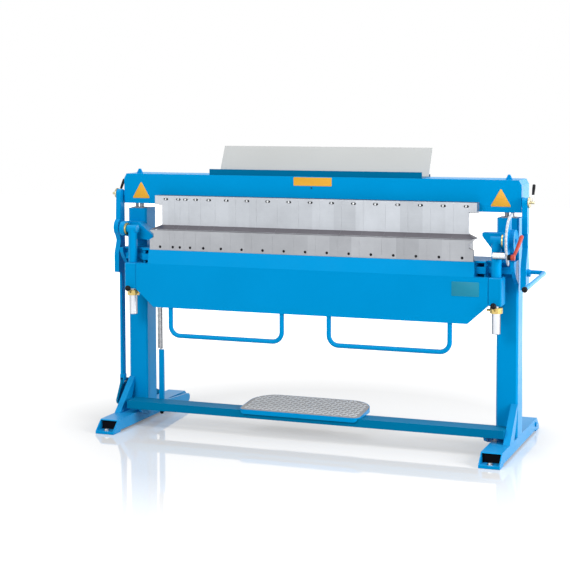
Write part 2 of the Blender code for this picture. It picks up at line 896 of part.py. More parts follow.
def spindle(side, steel):
    """Round spindle end below the block, with a thinner neck for the adjuster."""
    centre = (side_signs[side] * hinge_axis_x, 0.0)
    step = ring_bottom - seat_gap
    bottom = step - spindle_length
    top = folding_foot_end - seat_gap
    edge = spindle_radius / 10
    profile = [(0, bottom), (spindle_radius - edge, bottom), (spindle_radius, bottom + edge),
               (spindle_radius, step), (spindle_neck_radius, step), (spindle_neck_radius, top), (0, top)]
    return turned(side + "_spindle", profile, "Z", centre, steel, sides=24)


def adjuster(side, brass):
    """Brass ring on the spindle's neck with a ball lever in front and a stub beside it."""
    sign = side_signs[side]
    x = sign * hinge_axis_x
    ring = tube_ring(side + "_adjuster", spindle_neck_radius + seat_gap, ring_radius, "Z", (x, 0.0),
                     ring_bottom, ring_top, brass, sides=24)
    middle = (ring_bottom + ring_top) / 2
    root = ring_radius * 0.8
    ball_centre = Vector((x, -adjuster_ball_reach, middle + adjuster_ball_rise))
    lever = sweep("lever", [Vector((x, -root, middle)), ball_centre], adjuster_rod_radius, sides=8)
    knob = ball("knob", adjuster_ball_radius, ball_centre, sides=14)
    tip = x - sign * (ring_radius + adjuster_stub_length)
    stub = sweep("stub", [Vector((x - sign * root, 0.0, middle)), Vector((tip, 0.0, middle))],
                 adjuster_rod_radius, sides=8)
    return join(ring, [lever, knob, stub])


def grip(side, paint):
    """Bent tube grip hanging under the folding beam."""
    sign = side_signs[side]
    y = (folding_front + folding_back) / 2
    top = folding_bottom - seat_gap
    low = folding_bottom - grip_drop
    corners = [(sign * grip_outer, y, top), (sign * grip_outer, y, low),
               (sign * grip_inner, y, low), (sign * grip_inner, y, top)]
    return sweep(side + "_grip", rounded_path(corners, grip_bend), grip_radius, paint, sides=12)


# Upper beam and what it carries

def upper_beam(paint):
    """Beam that carries the tools: deep ends, open bays at the back, lifting lugs and guide bores."""
    half, corner = upper_half, upper_corner
    right = [(half - corner, upper_top), (half, upper_top - corner * 1.8), (half, upper_end_bottom),
             (upper_end_inner, upper_end_bottom), (upper_end_inner, upper_mid_bottom)]
    outline = right + mirrored(list(reversed(right)), -1)
    back = upper_front + upper_depth
    body = prism("upper_beam", outline, "Y", upper_front, back, paint)
    added = []
    cutters = []
    lug_root = upper_top - lug_thickness / 2
    lug_y = upper_front + lug_setback
    boss_axis = (upper_front + eccentric_boss_radius * 1.2, eccentric_height)
    for sign in (-1, 1):
        x = sign * (half - lug_inset)
        lug = [(x - lug_width / 2, lug_root), (x - lug_tip / 2, upper_top + lug_height),
               (x + lug_tip / 2, upper_top + lug_height), (x + lug_width / 2, lug_root)]
        added.append(prism("lug", lug, "Y", lug_y, lug_y + lug_thickness))
        edges = sorted((sign * (half - upper_skin / 2), sign * (arm_inner - seat_gap)))
        added.append(rod("boss", eccentric_boss_radius, "X", boss_axis, edges[0], edges[1], sides=20))
        for offset, radius in rod_places:
            cutters.append(rod("bore", radius + rod_clearance, "Z", (sign * (foot_centre + offset), rod_y),
                               upper_end_bottom - overcut, rod_top + rod_cover / 3, sides=16))
    pitch = 2 * upper_end_inner / upper_bay_count
    for bay in range(upper_bay_count):
        left = -upper_end_inner + bay * pitch + upper_skin / 2
        cutters.append(block("bay", (left, left + pitch - upper_skin),
                             (upper_front + upper_skin, back + overcut),
                             (upper_mid_bottom + upper_skin, upper_top - upper_skin)))
    joined = join(body, added)
    return cut(joined, cutters)


def upper_tools(steel):
    """Row of clamping tools with projecting noses, fused at the back to their holder bar."""
    back = tool_front + tool_thickness
    heel = back + tool_heel_depth
    heel_top = tool_bottom + tool_heel_height
    top = tool_top
    shoulder = bend_height + tool_shoulder
    flange_bottom = top - tool_flange_height
    holder_bottom = top - holder_height
    outline = [(bend_gap, tool_bottom), (heel, tool_bottom), (heel, heel_top),
               (back, heel_top + tool_heel_depth), (back, holder_bottom), (holder_depth, holder_bottom),
               (holder_depth, top), (tool_front, top), (tool_front, shoulder),
               (bend_gap, tool_bottom + tool_nose_land)]
    body = prism("upper_tools", outline, "X", -tool_half, tool_half, steel)
    joints, middles = segment_edges()
    cutters = []
    horn = tool_bottom + tool_nose_land * 2
    beyond = tool_half + overcut
    for sign in (-1, 1):
        relief = [(body_half, flange_bottom), (beyond, flange_bottom), (beyond, horn), (tool_half, horn),
                  (body_half, shoulder)]
        cutters.append(prism("relief", mirrored(relief, sign), "Y", -overcut, heel + overcut))
        edges = sorted((sign * (upper_end_inner - seat_gap), sign * beyond))
        cutters.append(block("holder_end", edges, (upper_front - seat_gap, holder_depth + overcut),
                             (holder_bottom - overcut, top + overcut)))
    for x in joints:
        cutters.append(block("slit", (x - segment_slit / 2, x + segment_slit / 2),
                             (-overcut, heel + seat_gap), (tool_bottom - overcut, top - tool_slot_depth)))
    straight = tool_slot_length / 2 - tool_slot_radius
    height = top - tool_slot_drop
    for middle in middles:
        x = middle + tool_slot_shift
        slot = arc((x + straight, height), tool_slot_radius, -90, 90, 4)
        slot += arc((x - straight, height), tool_slot_radius, 90, 270, 4)
        cutters.append(prism("slot", slot, "Y", tool_front - overcut, tool_front + tool_slot_depth))
    return cut(body, cutters)


def tool_tray(paint):
    """Shallow tray folded from sheet, with a high front lip and a low rear lip."""
    floor = upper_top + seat_gap
    sheet = tray_sheet
    front = upper_front + tray_inset
    back = front + tray_depth
    outline = [(front, floor), (back, floor), (back, floor + tray_rear_lip),
               (back - sheet, floor + tray_rear_lip), (back - sheet, floor + sheet),
               (front + sheet, floor + sheet), (front + sheet, floor + tray_lip), (front, floor + tray_lip)]
    return prism("tool_tray", outline, "X", -tray_half, tray_half, paint)


def tray_panel(sheet_metal):
    """Sheet that stands on the tray floor and leans back above a knee."""
    foot_y = upper_front + tray_inset + panel_setback
    foot_z = upper_top + seat_gap * 2 + tray_sheet
    knee_y, knee_z = foot_y + panel_knee_lean, foot_z + panel_knee
    top_y, top_z = foot_y + panel_lean, foot_z + panel_height
    thick = panel_thickness
    outline = [(foot_y, foot_z), (foot_y + thick, foot_z), (knee_y + thick, knee_z), (top_y + thick, top_z),
               (top_y, top_z), (knee_y, knee_z)]
    half = tray_half - panel_inset
    return prism("tray_panel", outline, "X", -half, half, sheet_metal)


def clamp_arm(side, paint):
    """Flat arm that hangs from the eccentric on the upper beam, outside the post."""
    sign = side_signs[side]
    front, back = arm_centre - arm_half_width, arm_centre + arm_half_width
    neck_top, neck_bottom = bend_height + arm_neck_rise, bend_height - arm_neck_drop
    knee = arm_bottom + arm_knee_height
    toe, heel = arm_centre - arm_foot_front, arm_centre + arm_foot_back
    outline = arc((arm_centre, eccentric_height), arm_half_width, 0, 180, 8)
    if side == "left":
        outline += arc((arm_centre - arm_hub_shift, bend_height), arm_hub_radius, 118, 232, 8)
        outline += [(front, bend_height - arm_waist_drop)]
    else:
        outline += [(front, neck_top), (arm_centre - arm_neck_radius, neck_top),
                    (arm_centre - arm_neck_radius, neck_bottom)]
    outline += [(toe, knee), (toe, arm_bottom), (heel, arm_bottom), (heel, knee)]
    if side == "left":
        outline += [(back, bend_height - arm_hub_radius), (back, bend_height + arm_hub_radius)]
    else:
        outline += [(arm_centre + arm_neck_radius, neck_bottom), (arm_centre + arm_neck_radius, neck_top),
                    (back, neck_top)]
    edges = sorted((sign * arm_inner, sign * (arm_inner + arm_thickness)))
    return prism(side + "_clamp_arm", outline, "X", edges[0], edges[1], paint)


def pull_strip(paint):
    """Flat bar from the foot of the left clamp arm down to the treadle's crank."""
    return block("pull_strip", (-arm_inner - bend_gap - strip_thickness, -arm_inner - bend_gap),
                 (strip_front, strip_front + strip_depth), (strip_bottom, arm_bottom - seat_gap), paint,
                 bevel=strip_thickness / 6)


def eccentric(side, brass):
    """Brass disc on the clamp arm with a hub and a short lever."""
    sign = side_signs[side]
    axis = (eccentric_y, eccentric_height)
    inner = arm_inner + arm_thickness + seat_gap
    face = inner + eccentric_thickness
    edges = sorted((sign * inner, sign * face))
    disc = rod(side + "_eccentric", eccentric_radius, "X", axis, edges[0], edges[1], brass, sides=28)
    edges = sorted((sign * (inner + face) / 2, sign * (face + eccentric_hub_length)))
    hub = rod("hub", eccentric_hub_radius, "X", axis, edges[0], edges[1], sides=20)
    middle = sign * (face + eccentric_hub_length / 2)
    angle = radians(lever_angles[side])
    length = lever_lengths[side]
    tip = Vector((middle, axis[0] + length * cos(angle), axis[1] + length * sin(angle)))
    lever = sweep("lever", [Vector((middle, *axis)), tip], eccentric_rod_radius, sides=10)
    return join(disc, [hub, lever])


def stop_lever(red):
    """Clamping lever of the angle stop: a knob on the scale, a hub and a handle."""
    angle = radians(stop_angle)
    axis = (stop_radius * cos(angle), bend_height + stop_radius * sin(angle))
    start = ear_outer + seat_gap * 2 + scale_offset + scale_thickness
    middle = start + stop_knob_length
    end = middle + stop_hub_length
    edge = stop_hub_radius / 4
    profile = [(0, start), (stop_knob_radius, start), (stop_knob_radius, middle), (stop_hub_radius, middle),
               (stop_hub_radius, end - edge), (stop_hub_radius - edge, end), (0, end)]
    hub = turned("stop_lever", profile, "X", axis, red, sides=20)
    foot_point = Vector((middle + stop_hub_length / 2, *axis))
    tip = foot_point + Vector((stop_arm_side, stop_arm_depth, stop_arm_rise))
    arm = sweep("arm", [foot_point, tip], stop_arm_radius, sides=10)
    return join(hub, [arm])


def hand_lever(paint):
    """Bent bar with a ball end, turning in the right clamp arm."""
    start = arm_inner + arm_thickness + seat_gap
    axis = (arm_centre, hand_height)
    hub = rod("hand_lever", hand_hub_radius, "X", axis, start, start + hand_hub_length, paint, sides=24)
    corner = Vector((start + hand_hub_length + hand_bar_side, *axis))
    tip = corner + Vector((0.0, -hand_bar_reach, -hand_bar_drop))
    route = [Vector((start + hand_hub_length / 2, *axis)), corner, tip]
    bar = sweep("bar", rounded_path(route, hand_bar_bend), hand_bar_radius, sides=12)
    knob = ball("knob", hand_ball_radius, tip, sides=16)
    return join(hub, [bar, knob])


# Treadle

def treadle_bar(paint):
    """Channel, open below, that runs across in front of the posts."""
    back = treadle_front + treadle_depth
    wall = treadle_wall
    outline = [(treadle_front, treadle_bottom), (treadle_front + wall, treadle_bottom),
               (treadle_front + wall, treadle_top - wall), (back - wall, treadle_top - wall),
               (back - wall, treadle_bottom), (back, treadle_bottom), (back, treadle_top),
               (treadle_front, treadle_top)]
    return prism("treadle_bar", outline, "X", -treadle_half, treadle_half, paint)


def treadle_arm(side, paint):
    """Inner arm from the bar back to the pin through the foot."""
    sign = side_signs[side]
    outer = post_inner - treadle_arm_side
    edges = sorted((sign * outer, sign * (outer - treadle_arm_thickness)))
    top = treadle_bottom - seat_gap
    start, end = treadle_front + treadle_arm_inset, treadle_front + treadle_depth
    y, z = treadle_pivot_y, treadle_pivot_z
    outline = arc((y, z), treadle_arm_eye, -90, 90, 8)
    outline += [(end, top), (start, top), (start + treadle_arm_slope, top - treadle_arm_depth / 2),
                (end, top - treadle_arm_depth)]
    arm = prism(side + "_treadle_arm", outline, "X", edges[0], edges[1], paint)
    middle = outer - treadle_arm_thickness / 2
    end = crank_inner() - seat_gap if side == "left" else post_outer + treadle_pin_radius / 2
    edges = sorted((sign * middle, sign * end))
    others = [rod("pin", treadle_pin_radius, "X", (y, z), edges[0], edges[1], sides=16)]
    if side == "left":
        height = top - treadle_arm_depth / 2
        tip = spring_x + strap_shift - strap_width / 2 - strap_pin_gap
        others.append(rod("strap_pin", strap_pin_radius, "X", (spring_y, height), -middle, tip, sides=12))
    return join(arm, others)


def crank_inner():
    return arm_inner + bend_gap


def outer_treadle_arm(paint):
    """Crank outside the left foot that the pull strip works on."""
    inner = crank_inner()
    y, z = treadle_pivot_y, treadle_pivot_z
    front = strip_front - seat_gap
    outline = arc((y, z), crank_eye, -90, 90, 8)
    outline += [(front + crank_head_depth, crank_top), (front, crank_top),
                (front - crank_nose, crank_nose_top), (front - crank_nose_foot, crank_nose_bottom),
                (front - crank_heel, crank_heel_bottom), (front + crank_head_depth, crank_heel_bottom)]
    return prism("outer_treadle_arm", outline, "X", -inner - crank_thickness, -inner, paint)


def bumper(rubber):
    top = treadle_bottom - seat_gap
    front = treadle_front + seat_gap
    return block("treadle_bumper", (bumper_x - bumper_width / 2, bumper_x + bumper_width / 2),
                 (front, front + bumper_depth), (top - bumper_height, top), rubber)


def tread_outline(inset):
    """Rectangle with round corners, its front left corner at the origin."""
    width = tread_right - tread_left
    radius = tread_corner - inset
    near = tread_corner
    corners = [((near, near), 180), ((width - near, near), 270),
               ((width - near, tread_depth - near), 0), ((near, tread_depth - near), 90)]
    outline = []
    for centre, start in corners:
        outline += arc(centre, radius, start, start + 90, 6)
    return outline


def tilt_tread(obj):
    """Lean a tread piece back and set its front edge just above the bar."""
    turn = Matrix.Rotation(radians(tread_slope), 4, "X")
    rest = treadle_top + seat_gap + tread_gap
    obj.data.transform(Matrix.Translation((tread_left, tread_front, rest)) @ turn)
    return obj


def tread_pan(paint):
    """Blue pan under the tread with a rib that sits on the bar."""
    pan = prism("tread_pan", tread_outline(0.0), "Z", 0.0, tread_pan_thickness, paint)
    width = tread_right - tread_left
    rib = block("rib", (tread_corner, width - tread_corner),
                (tread_rib_setback, tread_rib_setback + tread_rib_depth),
                (-tread_pan_thickness * 2, tread_pan_thickness / 2))
    tilt_tread(join(pan, [rib]))
    trim = block("trim", (tread_left - overcut, tread_right + overcut),
                 (tread_front - overcut, tread_front + tread_depth),
                 (treadle_bottom, treadle_top + seat_gap))
    return cut(pan, [trim])


def tread_plate(plate):
    """Tread sheet on the pan, inside its rim."""
    base = tread_pan_thickness + seat_gap
    sheet = prism("tread_plate", tread_outline(tread_rim), "Z", base, base + tread_thickness, plate)
    return tilt_tread(sheet)


def spring_strap(paint):
    middle = spring_x + strap_shift
    return block("spring_strap", (middle - strap_width / 2, middle + strap_width / 2),
                 (spring_y - strap_thickness / 2, spring_y + strap_thickness / 2),
                 (strap_bottom, strap_top), paint)


def centre_on_floor(root):
    """Shift the whole machine so that its origin is the middle of its footprint on the floor."""
    depsgraph = bpy.context.evaluated_depsgraph_get()
    corners = []
    for obj in bpy.context.collection.objects:
        if obj.type == "MESH":
            solid = obj.evaluated_get(depsgraph)
            corners += [solid.matrix_world @ vertex.co for vertex in solid.data.vertices]
    xs = [corner.x for corner in corners]
    ys = [corner.y for corner in corners]
    root.location = (-(min(xs) + max(xs)) / 2, -(min(ys) + max(ys)) / 2, 0.0)


def main():
    for obj in list(bpy.data.objects):
        bpy.data.objects.remove(obj)

    blue = material("blue_paint", (0.0, 0.28, 0.67), 0.35)
    steel = material("ground_steel", (0.55, 0.57, 0.60), 0.30, 1.0)
    brass = material("brass", (0.68, 0.50, 0.20), 0.35, 1.0)
    red = material("red_plastic", (0.75, 0.06, 0.03), 0.35)
    grey = material("tread_sheet", (0.36, 0.36, 0.36), 0.55, 0.6)
    pale = material("tray_sheet", (0.62, 0.62, 0.60), 0.45, 0.3)
    white = material("scale_white", (0.75, 0.76, 0.76), 0.40)
    rubber = material("rubber", (0.02, 0.02, 0.02), 0.70)

    root = pivot("machine", (0.0, 0.0, 0.0), None)
    fixed = []
    for side in ("left", "right"):
        fixed += [foot(side, blue), post(side, blue), brace(side, blue), hinge_bearing(side, blue),
                  guide_rods(side, steel)]
    fixed += [lower_beam(blue), lower_cheek(steel), angle_plate(blue), angle_scale(white),
              return_spring(steel)]
    mount_on(root, (0.0, 0.0, 0.0), fixed)

    fold_point = (0.0, 0.0, bend_height)
    fold = pivot("fold_axis", fold_point, root)
    folding = [folding_beam(blue), folding_rail(steel), collar(steel)]
    for side in ("left", "right"):
        folding += [spindle_block(side, blue), hinge_head(side, blue), hinge_washer(side, brass),
                    spindle(side, steel), grip(side, blue)]
    mount_on(fold, fold_point, folding)

    for side in ("left", "right"):
        point = Vector((side_signs[side] * hinge_axis_x, 0.0, ring_bottom))
        turn = pivot(side + "_adjuster_axis", point - Vector(fold_point), fold)
        mount_on(turn, point, [adjuster(side, brass)])

    clamp = pivot("clamp_slide", (0.0, 0.0, 0.0), root)
    clamping = [upper_beam(blue), upper_tools(steel), tool_tray(blue), tray_panel(pale), pull_strip(blue)]
    clamping += [clamp_arm(side, blue) for side in ("left", "right")]
    mount_on(clamp, (0.0, 0.0, 0.0), clamping)

    for side in ("left", "right"):
        point = (side_signs[side] * arm_inner, eccentric_y, eccentric_height)
        turn = pivot(side + "_eccentric_axis", point, clamp)
        mount_on(turn, point, [eccentric(side, brass)])

    point = (arm_inner, arm_centre, hand_height)
    mount_on(pivot("hand_lever_axis", point, clamp), point, [hand_lever(blue)])

    point = (drum_outer(), 0.0, bend_height)
    mount_on(pivot("stop_axis", point, root), point, [stop_lever(red)])

    point = (0.0, treadle_pivot_y, treadle_pivot_z)
    treadle = [treadle_bar(blue), treadle_arm("left", blue), treadle_arm("right", blue),
               outer_treadle_arm(blue), tread_pan(blue), tread_plate(grey), bumper(rubber)]
    mount_on(pivot("treadle_axis", point, root), point, treadle)

    point = (spring_x, spring_y, strap_bottom)
    mount_on(pivot("strap_slide", point, root), point, [spring_strap(blue)])

    bpy.context.view_layer.update()
    centre_on_floor(root)
    bpy.context.view_layer.update()


if __name__ == "__main__":
    main()
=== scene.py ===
"""Looks of a foot-operated box and pan brake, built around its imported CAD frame."""

import json
from math import atan2, cos, pi, radians, sin

import bmesh
import bpy
from mathutils import Matrix, Vector


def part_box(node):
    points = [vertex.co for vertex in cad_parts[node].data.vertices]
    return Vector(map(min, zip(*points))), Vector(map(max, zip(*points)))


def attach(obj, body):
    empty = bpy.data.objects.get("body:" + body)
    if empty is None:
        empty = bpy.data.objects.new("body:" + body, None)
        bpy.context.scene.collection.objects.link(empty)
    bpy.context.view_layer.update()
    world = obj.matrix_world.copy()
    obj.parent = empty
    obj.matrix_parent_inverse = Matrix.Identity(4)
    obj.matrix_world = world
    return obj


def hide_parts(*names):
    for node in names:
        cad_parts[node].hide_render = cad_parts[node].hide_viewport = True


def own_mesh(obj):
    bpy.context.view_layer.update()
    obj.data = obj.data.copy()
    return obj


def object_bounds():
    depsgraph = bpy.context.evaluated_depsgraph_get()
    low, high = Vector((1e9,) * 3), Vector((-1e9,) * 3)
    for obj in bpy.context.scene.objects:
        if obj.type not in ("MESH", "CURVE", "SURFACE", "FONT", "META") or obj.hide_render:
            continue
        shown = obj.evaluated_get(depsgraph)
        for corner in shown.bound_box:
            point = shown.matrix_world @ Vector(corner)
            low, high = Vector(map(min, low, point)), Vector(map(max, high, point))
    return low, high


bl_info = {
    "name": "Box and pan brake",
    "version": (1, 0, 0),
    "blender": (4, 5, 0),
    "location": "View3D > Sidebar > Brake",
    "description": "Finishes, small fittings and stage of a sheet folding machine",
    "category": "Object",
}

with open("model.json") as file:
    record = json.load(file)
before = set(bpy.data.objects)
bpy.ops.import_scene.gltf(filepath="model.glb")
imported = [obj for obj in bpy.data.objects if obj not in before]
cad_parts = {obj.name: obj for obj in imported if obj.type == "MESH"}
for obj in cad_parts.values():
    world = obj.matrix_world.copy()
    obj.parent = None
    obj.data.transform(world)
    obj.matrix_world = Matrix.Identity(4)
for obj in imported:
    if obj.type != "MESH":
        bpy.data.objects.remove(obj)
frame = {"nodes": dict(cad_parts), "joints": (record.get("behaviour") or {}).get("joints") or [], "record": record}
cad_low, cad_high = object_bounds()
nodes = frame["nodes"]
joints = {joint["name"]: joint for joint in frame["joints"]}

# Places taken from the frame
fold_axis = Vector(joints["fold_hinge"]["pos_m"])
beam_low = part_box("upper_beam")[0]
tools_low, tools_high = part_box("upper_tools")
rail_low, rail_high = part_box("folding_rail")
leaf_low, leaf_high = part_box("folding_beam")
mid_x = fold_axis.x

# Widths of the tools from the left, as they are made, and the joints between them
first_tool = 0.1027
narrow_tools = (0.0267, 0.0452, 0.0596, 0.0739)
wide_tool = 0.1027
wide_tool_count = 12
joint_width = 0.0010

# Clearances between a piece and what it sits in or on
skin = 0.0004
joint_gap = 0.0002

# Proportions of screw and bolt heads, as shares of their radius or height
socket_share = 0.55
socket_depth = 0.6
screw_rim = 0.12
bolt_washer_height = 0.3
bolt_washer_reach = 1.35
bolt_flat = 0.86
bolt_crown = 0.8

# Proportions of levers, knobs and small turned pieces
straight_share = 0.6
round_tip = ((0.5, 0.87), (0.85, 0.53), (1.0, 0.15))
arm_knee = (0.5, 0.28, 0.36)
hub_shares = (0.72, 0.92, 0.94, 0.7)
belly_share = 0.7
sleeve_shares = (0.7, 0.8, 0.4, 0.2)
sleeve_swell = 0.6
ball_seat = 0.8
hub_bevel = 0.08
stud_bevel = 0.1
plug_rise = 0.6
stop_belly = 0.7
stop_nose = 0.8
pin_flat = 0.75
pin_crown = 0.8

# Proportions of the pedal: the sheet's thickness and bevel, the lugs' taper and their margins
sheet_depth = 1.6
sheet_bevel = 0.2
lug_shape = ((0.9, 0.6), (0.6, 1.0))
row_margin = 0.8
lug_clearance = 0.6

# Points round the turned and bent pieces, and steps from pole to pole of a ball
wire_points = 8
stem_points = 12
lug_points = 12
bar_points = 20
screw_points = 24
sleeve_points = 28
hub_points = 32
ball_points = 36
pin_points = 40
disc_points = 48
ball_steps = 20

# Steps round a bend, a rounded corner, a slot's end and a corner of the tread
stem_steps = 6
bar_steps = 8
grip_steps = 10
corner_steps = 5
slot_steps = 8
tread_steps = 12

# Angles in degrees above which an edge stays sharp
plate_edge = 30.0
screw_edge = 35.0
turned_edge = 40.0
tube_edge = 45.0
lug_edge = 50.0
ball_edge = 60.0

# Finishes: edge mask and wear, painted rim and slope shade, relief, dust, the noise range in use,
# tone from tool to tool, and degree lines as step, width (degrees) and inner radius
edge_gain = 6.0
enamel_wear = 0.22
metal_wear = 0.4
tool_wear = 0.35
grazing_shade_blend = 0.35
slope_shade_gain = 6.0
metal_radius = 0.0008
enamel_depth = 0.0003
dust_colour = (0.62, 0.62, 0.6, 1.0)
noise_low = 0.3
noise_high = 0.7
tool_phase = 0.13
tool_tones = (0.86, 1.04)
degree_lines = ((10.0, 0.55, 0.104), (5.0, 0.4, 0.110))

# Lamps: place, width and height
lamp_target_height = 0.7
lamps = (("right_panel", (4.4, -0.8, 2.0), 2.2, 2.6), ("rear_panel", (3.4, 4.8, 1.7), 3.2, 3.0),
         ("front_panel", (-1.4, -4.6, 3.0), 3.0, 2.0), ("top_panel", (0.0, 0.2, 4.4), 3.6, 2.6))
camera_sensor = 36.0

# Directions, and a turn of local Z towards the operator with local X along the bend line
rightward = (1, 0, 0)
forward = (0, -1, 0)
downward = (0, 0, -1)
towards_operator = Matrix(((1, 0, 0, 0), (0, 0, -1, 0), (0, 1, 0, 0), (0, 0, 0, 1)))


def settings():
    return bpy.context.scene.pan_brake_sizes


def colours():
    return bpy.context.scene.pan_brake_colours


def stage_settings():
    return bpy.context.scene.pan_brake_stage


# Mesh helpers

def solid(name, bm, mat, body, smooth_angle=None):
    """Make an object from a bmesh, give it its material and let it ride on a body."""
    bmesh.ops.recalc_face_normals(bm, faces=bm.faces)
    mesh = bpy.data.meshes.new(name)
    bm.to_mesh(mesh)
    bm.free()
    mesh.materials.append(mat)
    if smooth_angle is not None:
        mesh.shade_smooth()
        mesh.set_sharp_from_angle(angle=radians(smooth_angle))
    obj = bpy.data.objects.new(name, mesh)
    bpy.context.scene.collection.objects.link(obj)
    if body is not None:
        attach(obj, body)
    return obj


def placed(spot, axis):
    """A place whose local +Z points along an axis."""
    turn = Vector(axis).normalized().to_track_quat("Z", "Y").to_matrix().to_4x4()
    return Matrix.Translation(spot) @ turn


def circle(radius, sides):
    turns = [2 * pi * step / sides for step in range(sides)]
    return [(radius * cos(turn), radius * sin(turn)) for turn in turns]


def arc(x, y, radius, start, sweep, steps):
    """Points round a centre, from one angle over a sweep, both in degrees."""
    turns = [radians(start + sweep * step / steps) for step in range(steps + 1)]
    return [(x + radius * cos(turn), y + radius * sin(turn)) for turn in turns]


def flat_ring(bm, place, points, height):
    """Vertices of local (x, y) points at one height above a place."""
    return [bm.verts.new(place @ Vector((x, y, height))) for x, y in points]


def bridge(bm, rings, capped=True):
    """Faces between neighbouring rings of points, and over the first and the last one."""
    for lower, upper in zip(rings, rings[1:]):
        for step in range(len(lower)):
            after = (step + 1) % len(lower)
            bm.faces.new((lower[step], upper[step], upper[after], lower[after]))
    if capped:
        bm.faces.new(rings[0])
        bm.faces.new(rings[-1])


def add_profile(bm, profile, place, sides):
    """Add (radius, height) turned about local Z, at a placing matrix."""
    rings = [flat_ring(bm, place, circle(radius, sides if radius > 0.0 else 1), height)
             for radius, height in profile]
    for lower, upper in zip(rings, rings[1:]):
        for step in range(sides):
            after = (step + 1) % sides
            if len(lower) == 1:
                bm.faces.new((lower[0], upper[step], upper[after]))
            elif len(upper) == 1:
                bm.faces.new((lower[step], upper[0], lower[after]))
            else:
                bm.faces.new((lower[step], upper[step], upper[after], lower[after]))


def turned(name, profile, place, sides, mat, body, smooth_angle):
    """A round piece from its (radius, height) profile."""
    bm = bmesh.new()
    add_profile(bm, profile, place, sides)
    return solid(name, bm, mat, body, smooth_angle)


def chamfered(radius, length, edge):
    """Profile of a disc or pin with both rims chamfered."""
    return [(0.0, 0.0), (radius - edge, 0.0), (radius, edge), (radius, length - edge),
            (radius - edge, length), (0.0, length)]


def add_socket_screw(bm, place, radius, height):
    """A cap screw head along local +Z, with a rounded rim and a hexagonal socket."""
    rim = radius * screw_rim
    lower, upper = circle(radius, screw_points), circle(radius - rim, screw_points)
    socket = []
    for x, y in circle(radius * socket_share, screw_points):
        turn = (atan2(y, x) + pi / 6) % (pi / 3) - pi / 6
        socket.append((x * cos(pi / 6) / cos(turn), y * cos(pi / 6) / cos(turn)))
    levels = ((lower, 0.0), (lower, height - rim), (upper, height), (socket, height),
              (socket, height - height * socket_depth))
    bridge(bm, [flat_ring(bm, place, points, level) for points, level in levels])


def add_box(bm, low, high):
    """A plain block between two corners."""
    points = [bm.verts.new((x, y, z))
              for x in (low.x, high.x) for y in (low.y, high.y) for z in (low.z, high.z)]
    for face in ((0, 1, 3, 2), (4, 6, 7, 5), (0, 4, 5, 1), (2, 3, 7, 6), (0, 2, 6, 4), (1, 5, 7, 3)):
        bm.faces.new([points[index] for index in face])


def add_bar(bm, profile, left, right):
    """A bar of one (y, z) profile between two places along X."""
    bridge(bm, [[bm.verts.new((x, y, z)) for y, z in profile] for x in (left, right)])


def add_hex_bolt(bm, place, radius, height):
    """A hexagon head on a round washer along local +Z, with a turned-down crown."""
    washer = height * bolt_washer_height
    rim = radius * bolt_washer_reach
    add_profile(bm, [(0.0, 0.0), (rim, 0.0), (rim, washer), (0.0, washer)], place, screw_points)
    rings = []
    for reach, level in ((radius, skin), (radius, height * bolt_flat), (radius * bolt_crown, height)):
        rings.append(flat_ring(bm, place, circle(reach, 6), washer + level))
    bridge(bm, rings)


def add_plate(bm, outline, place, thickness, edge):
    """A flat plate with a bevelled rim, from an outline in local X and Y."""
    points = [Vector(point) for point in outline]
    middle = sum(points, Vector((0.0, 0.0))) / len(points)
    reach = min((point - middle).length for point in points)
    rings = []
    for share, level in ((1.0, 0.0), (1.0, thickness - edge), (1.0 - edge * 2 / reach, thickness)):
        rings.append(flat_ring(bm, place, [middle + (point - middle) * share for point in points], level))
    bridge(bm, rings)


def add_facing_plates(name, outline, spots, thickness, edge, mat, body, smooth_angle):
    """One piece of plates that face the operator, all of one outline."""
    bm = bmesh.new()
    for spot in spots:
        add_plate(bm, outline, Matrix.Translation(spot) @ towards_operator, thickness, edge)
    solid(name, bm, mat, body, smooth_angle)


def add_screws(name, spots, radius, height, mat, body):
    """One piece of cap screws that face the operator."""
    bm = bmesh.new()
    for spot in spots:
        add_socket_screw(bm, placed(spot, forward), radius, height)
    solid(name, bm, mat, body, screw_edge)


def smooth_path(corners, steps):
    """Three points joined by straight runs and a soft bend round the middle one."""
    start, knee, end = corners
    first, last = start.lerp(knee, straight_share), end.lerp(knee, straight_share)
    bend = [first.lerp(knee, step / steps).lerp(knee.lerp(last, step / steps), step / steps)
            for step in range(steps + 1)]
    return [start, *bend, end]


def corner_arc(before, corner, after, radius, steps):
    """Points of the arc that rounds a corner between two others."""
    first = (before - corner).normalized()
    last = (after - corner).normalized()
    half = first.angle(last) / 2
    centre = corner + (first + last).normalized() * (radius / sin(half))
    reach = radius * cos(half) / sin(half)
    start = corner + first * reach - centre
    end = corner + last * reach - centre
    turn = start.angle(end)
    points = []
    for step in range(steps + 1):
        share = step / steps
        points.append(centre + (start * sin((1 - share) * turn) + end * sin(share * turn)) / sin(turn))
    return points


def bent_path(corners, radius, steps):
    """Corners in order, each inner one replaced by an arc of one radius."""
    path = [corners[0]]
    for before, corner, after in zip(corners, corners[1:], corners[2:]):
        path += corner_arc(before, corner, after, radius, steps)
    return path + [corners[-1]]


def rounded_polygon(corners, radius):
    """Corners in order, each replaced by an arc."""
    points = [Vector(corner) for corner in corners]
    outline = []
    for index, corner in enumerate(points):
        after = points[(index + 1) % len(points)]
        bend = corner_arc(points[index - 1], corner, after, radius, corner_steps)
        outline += [tuple(point) for point in bend]
    return outline


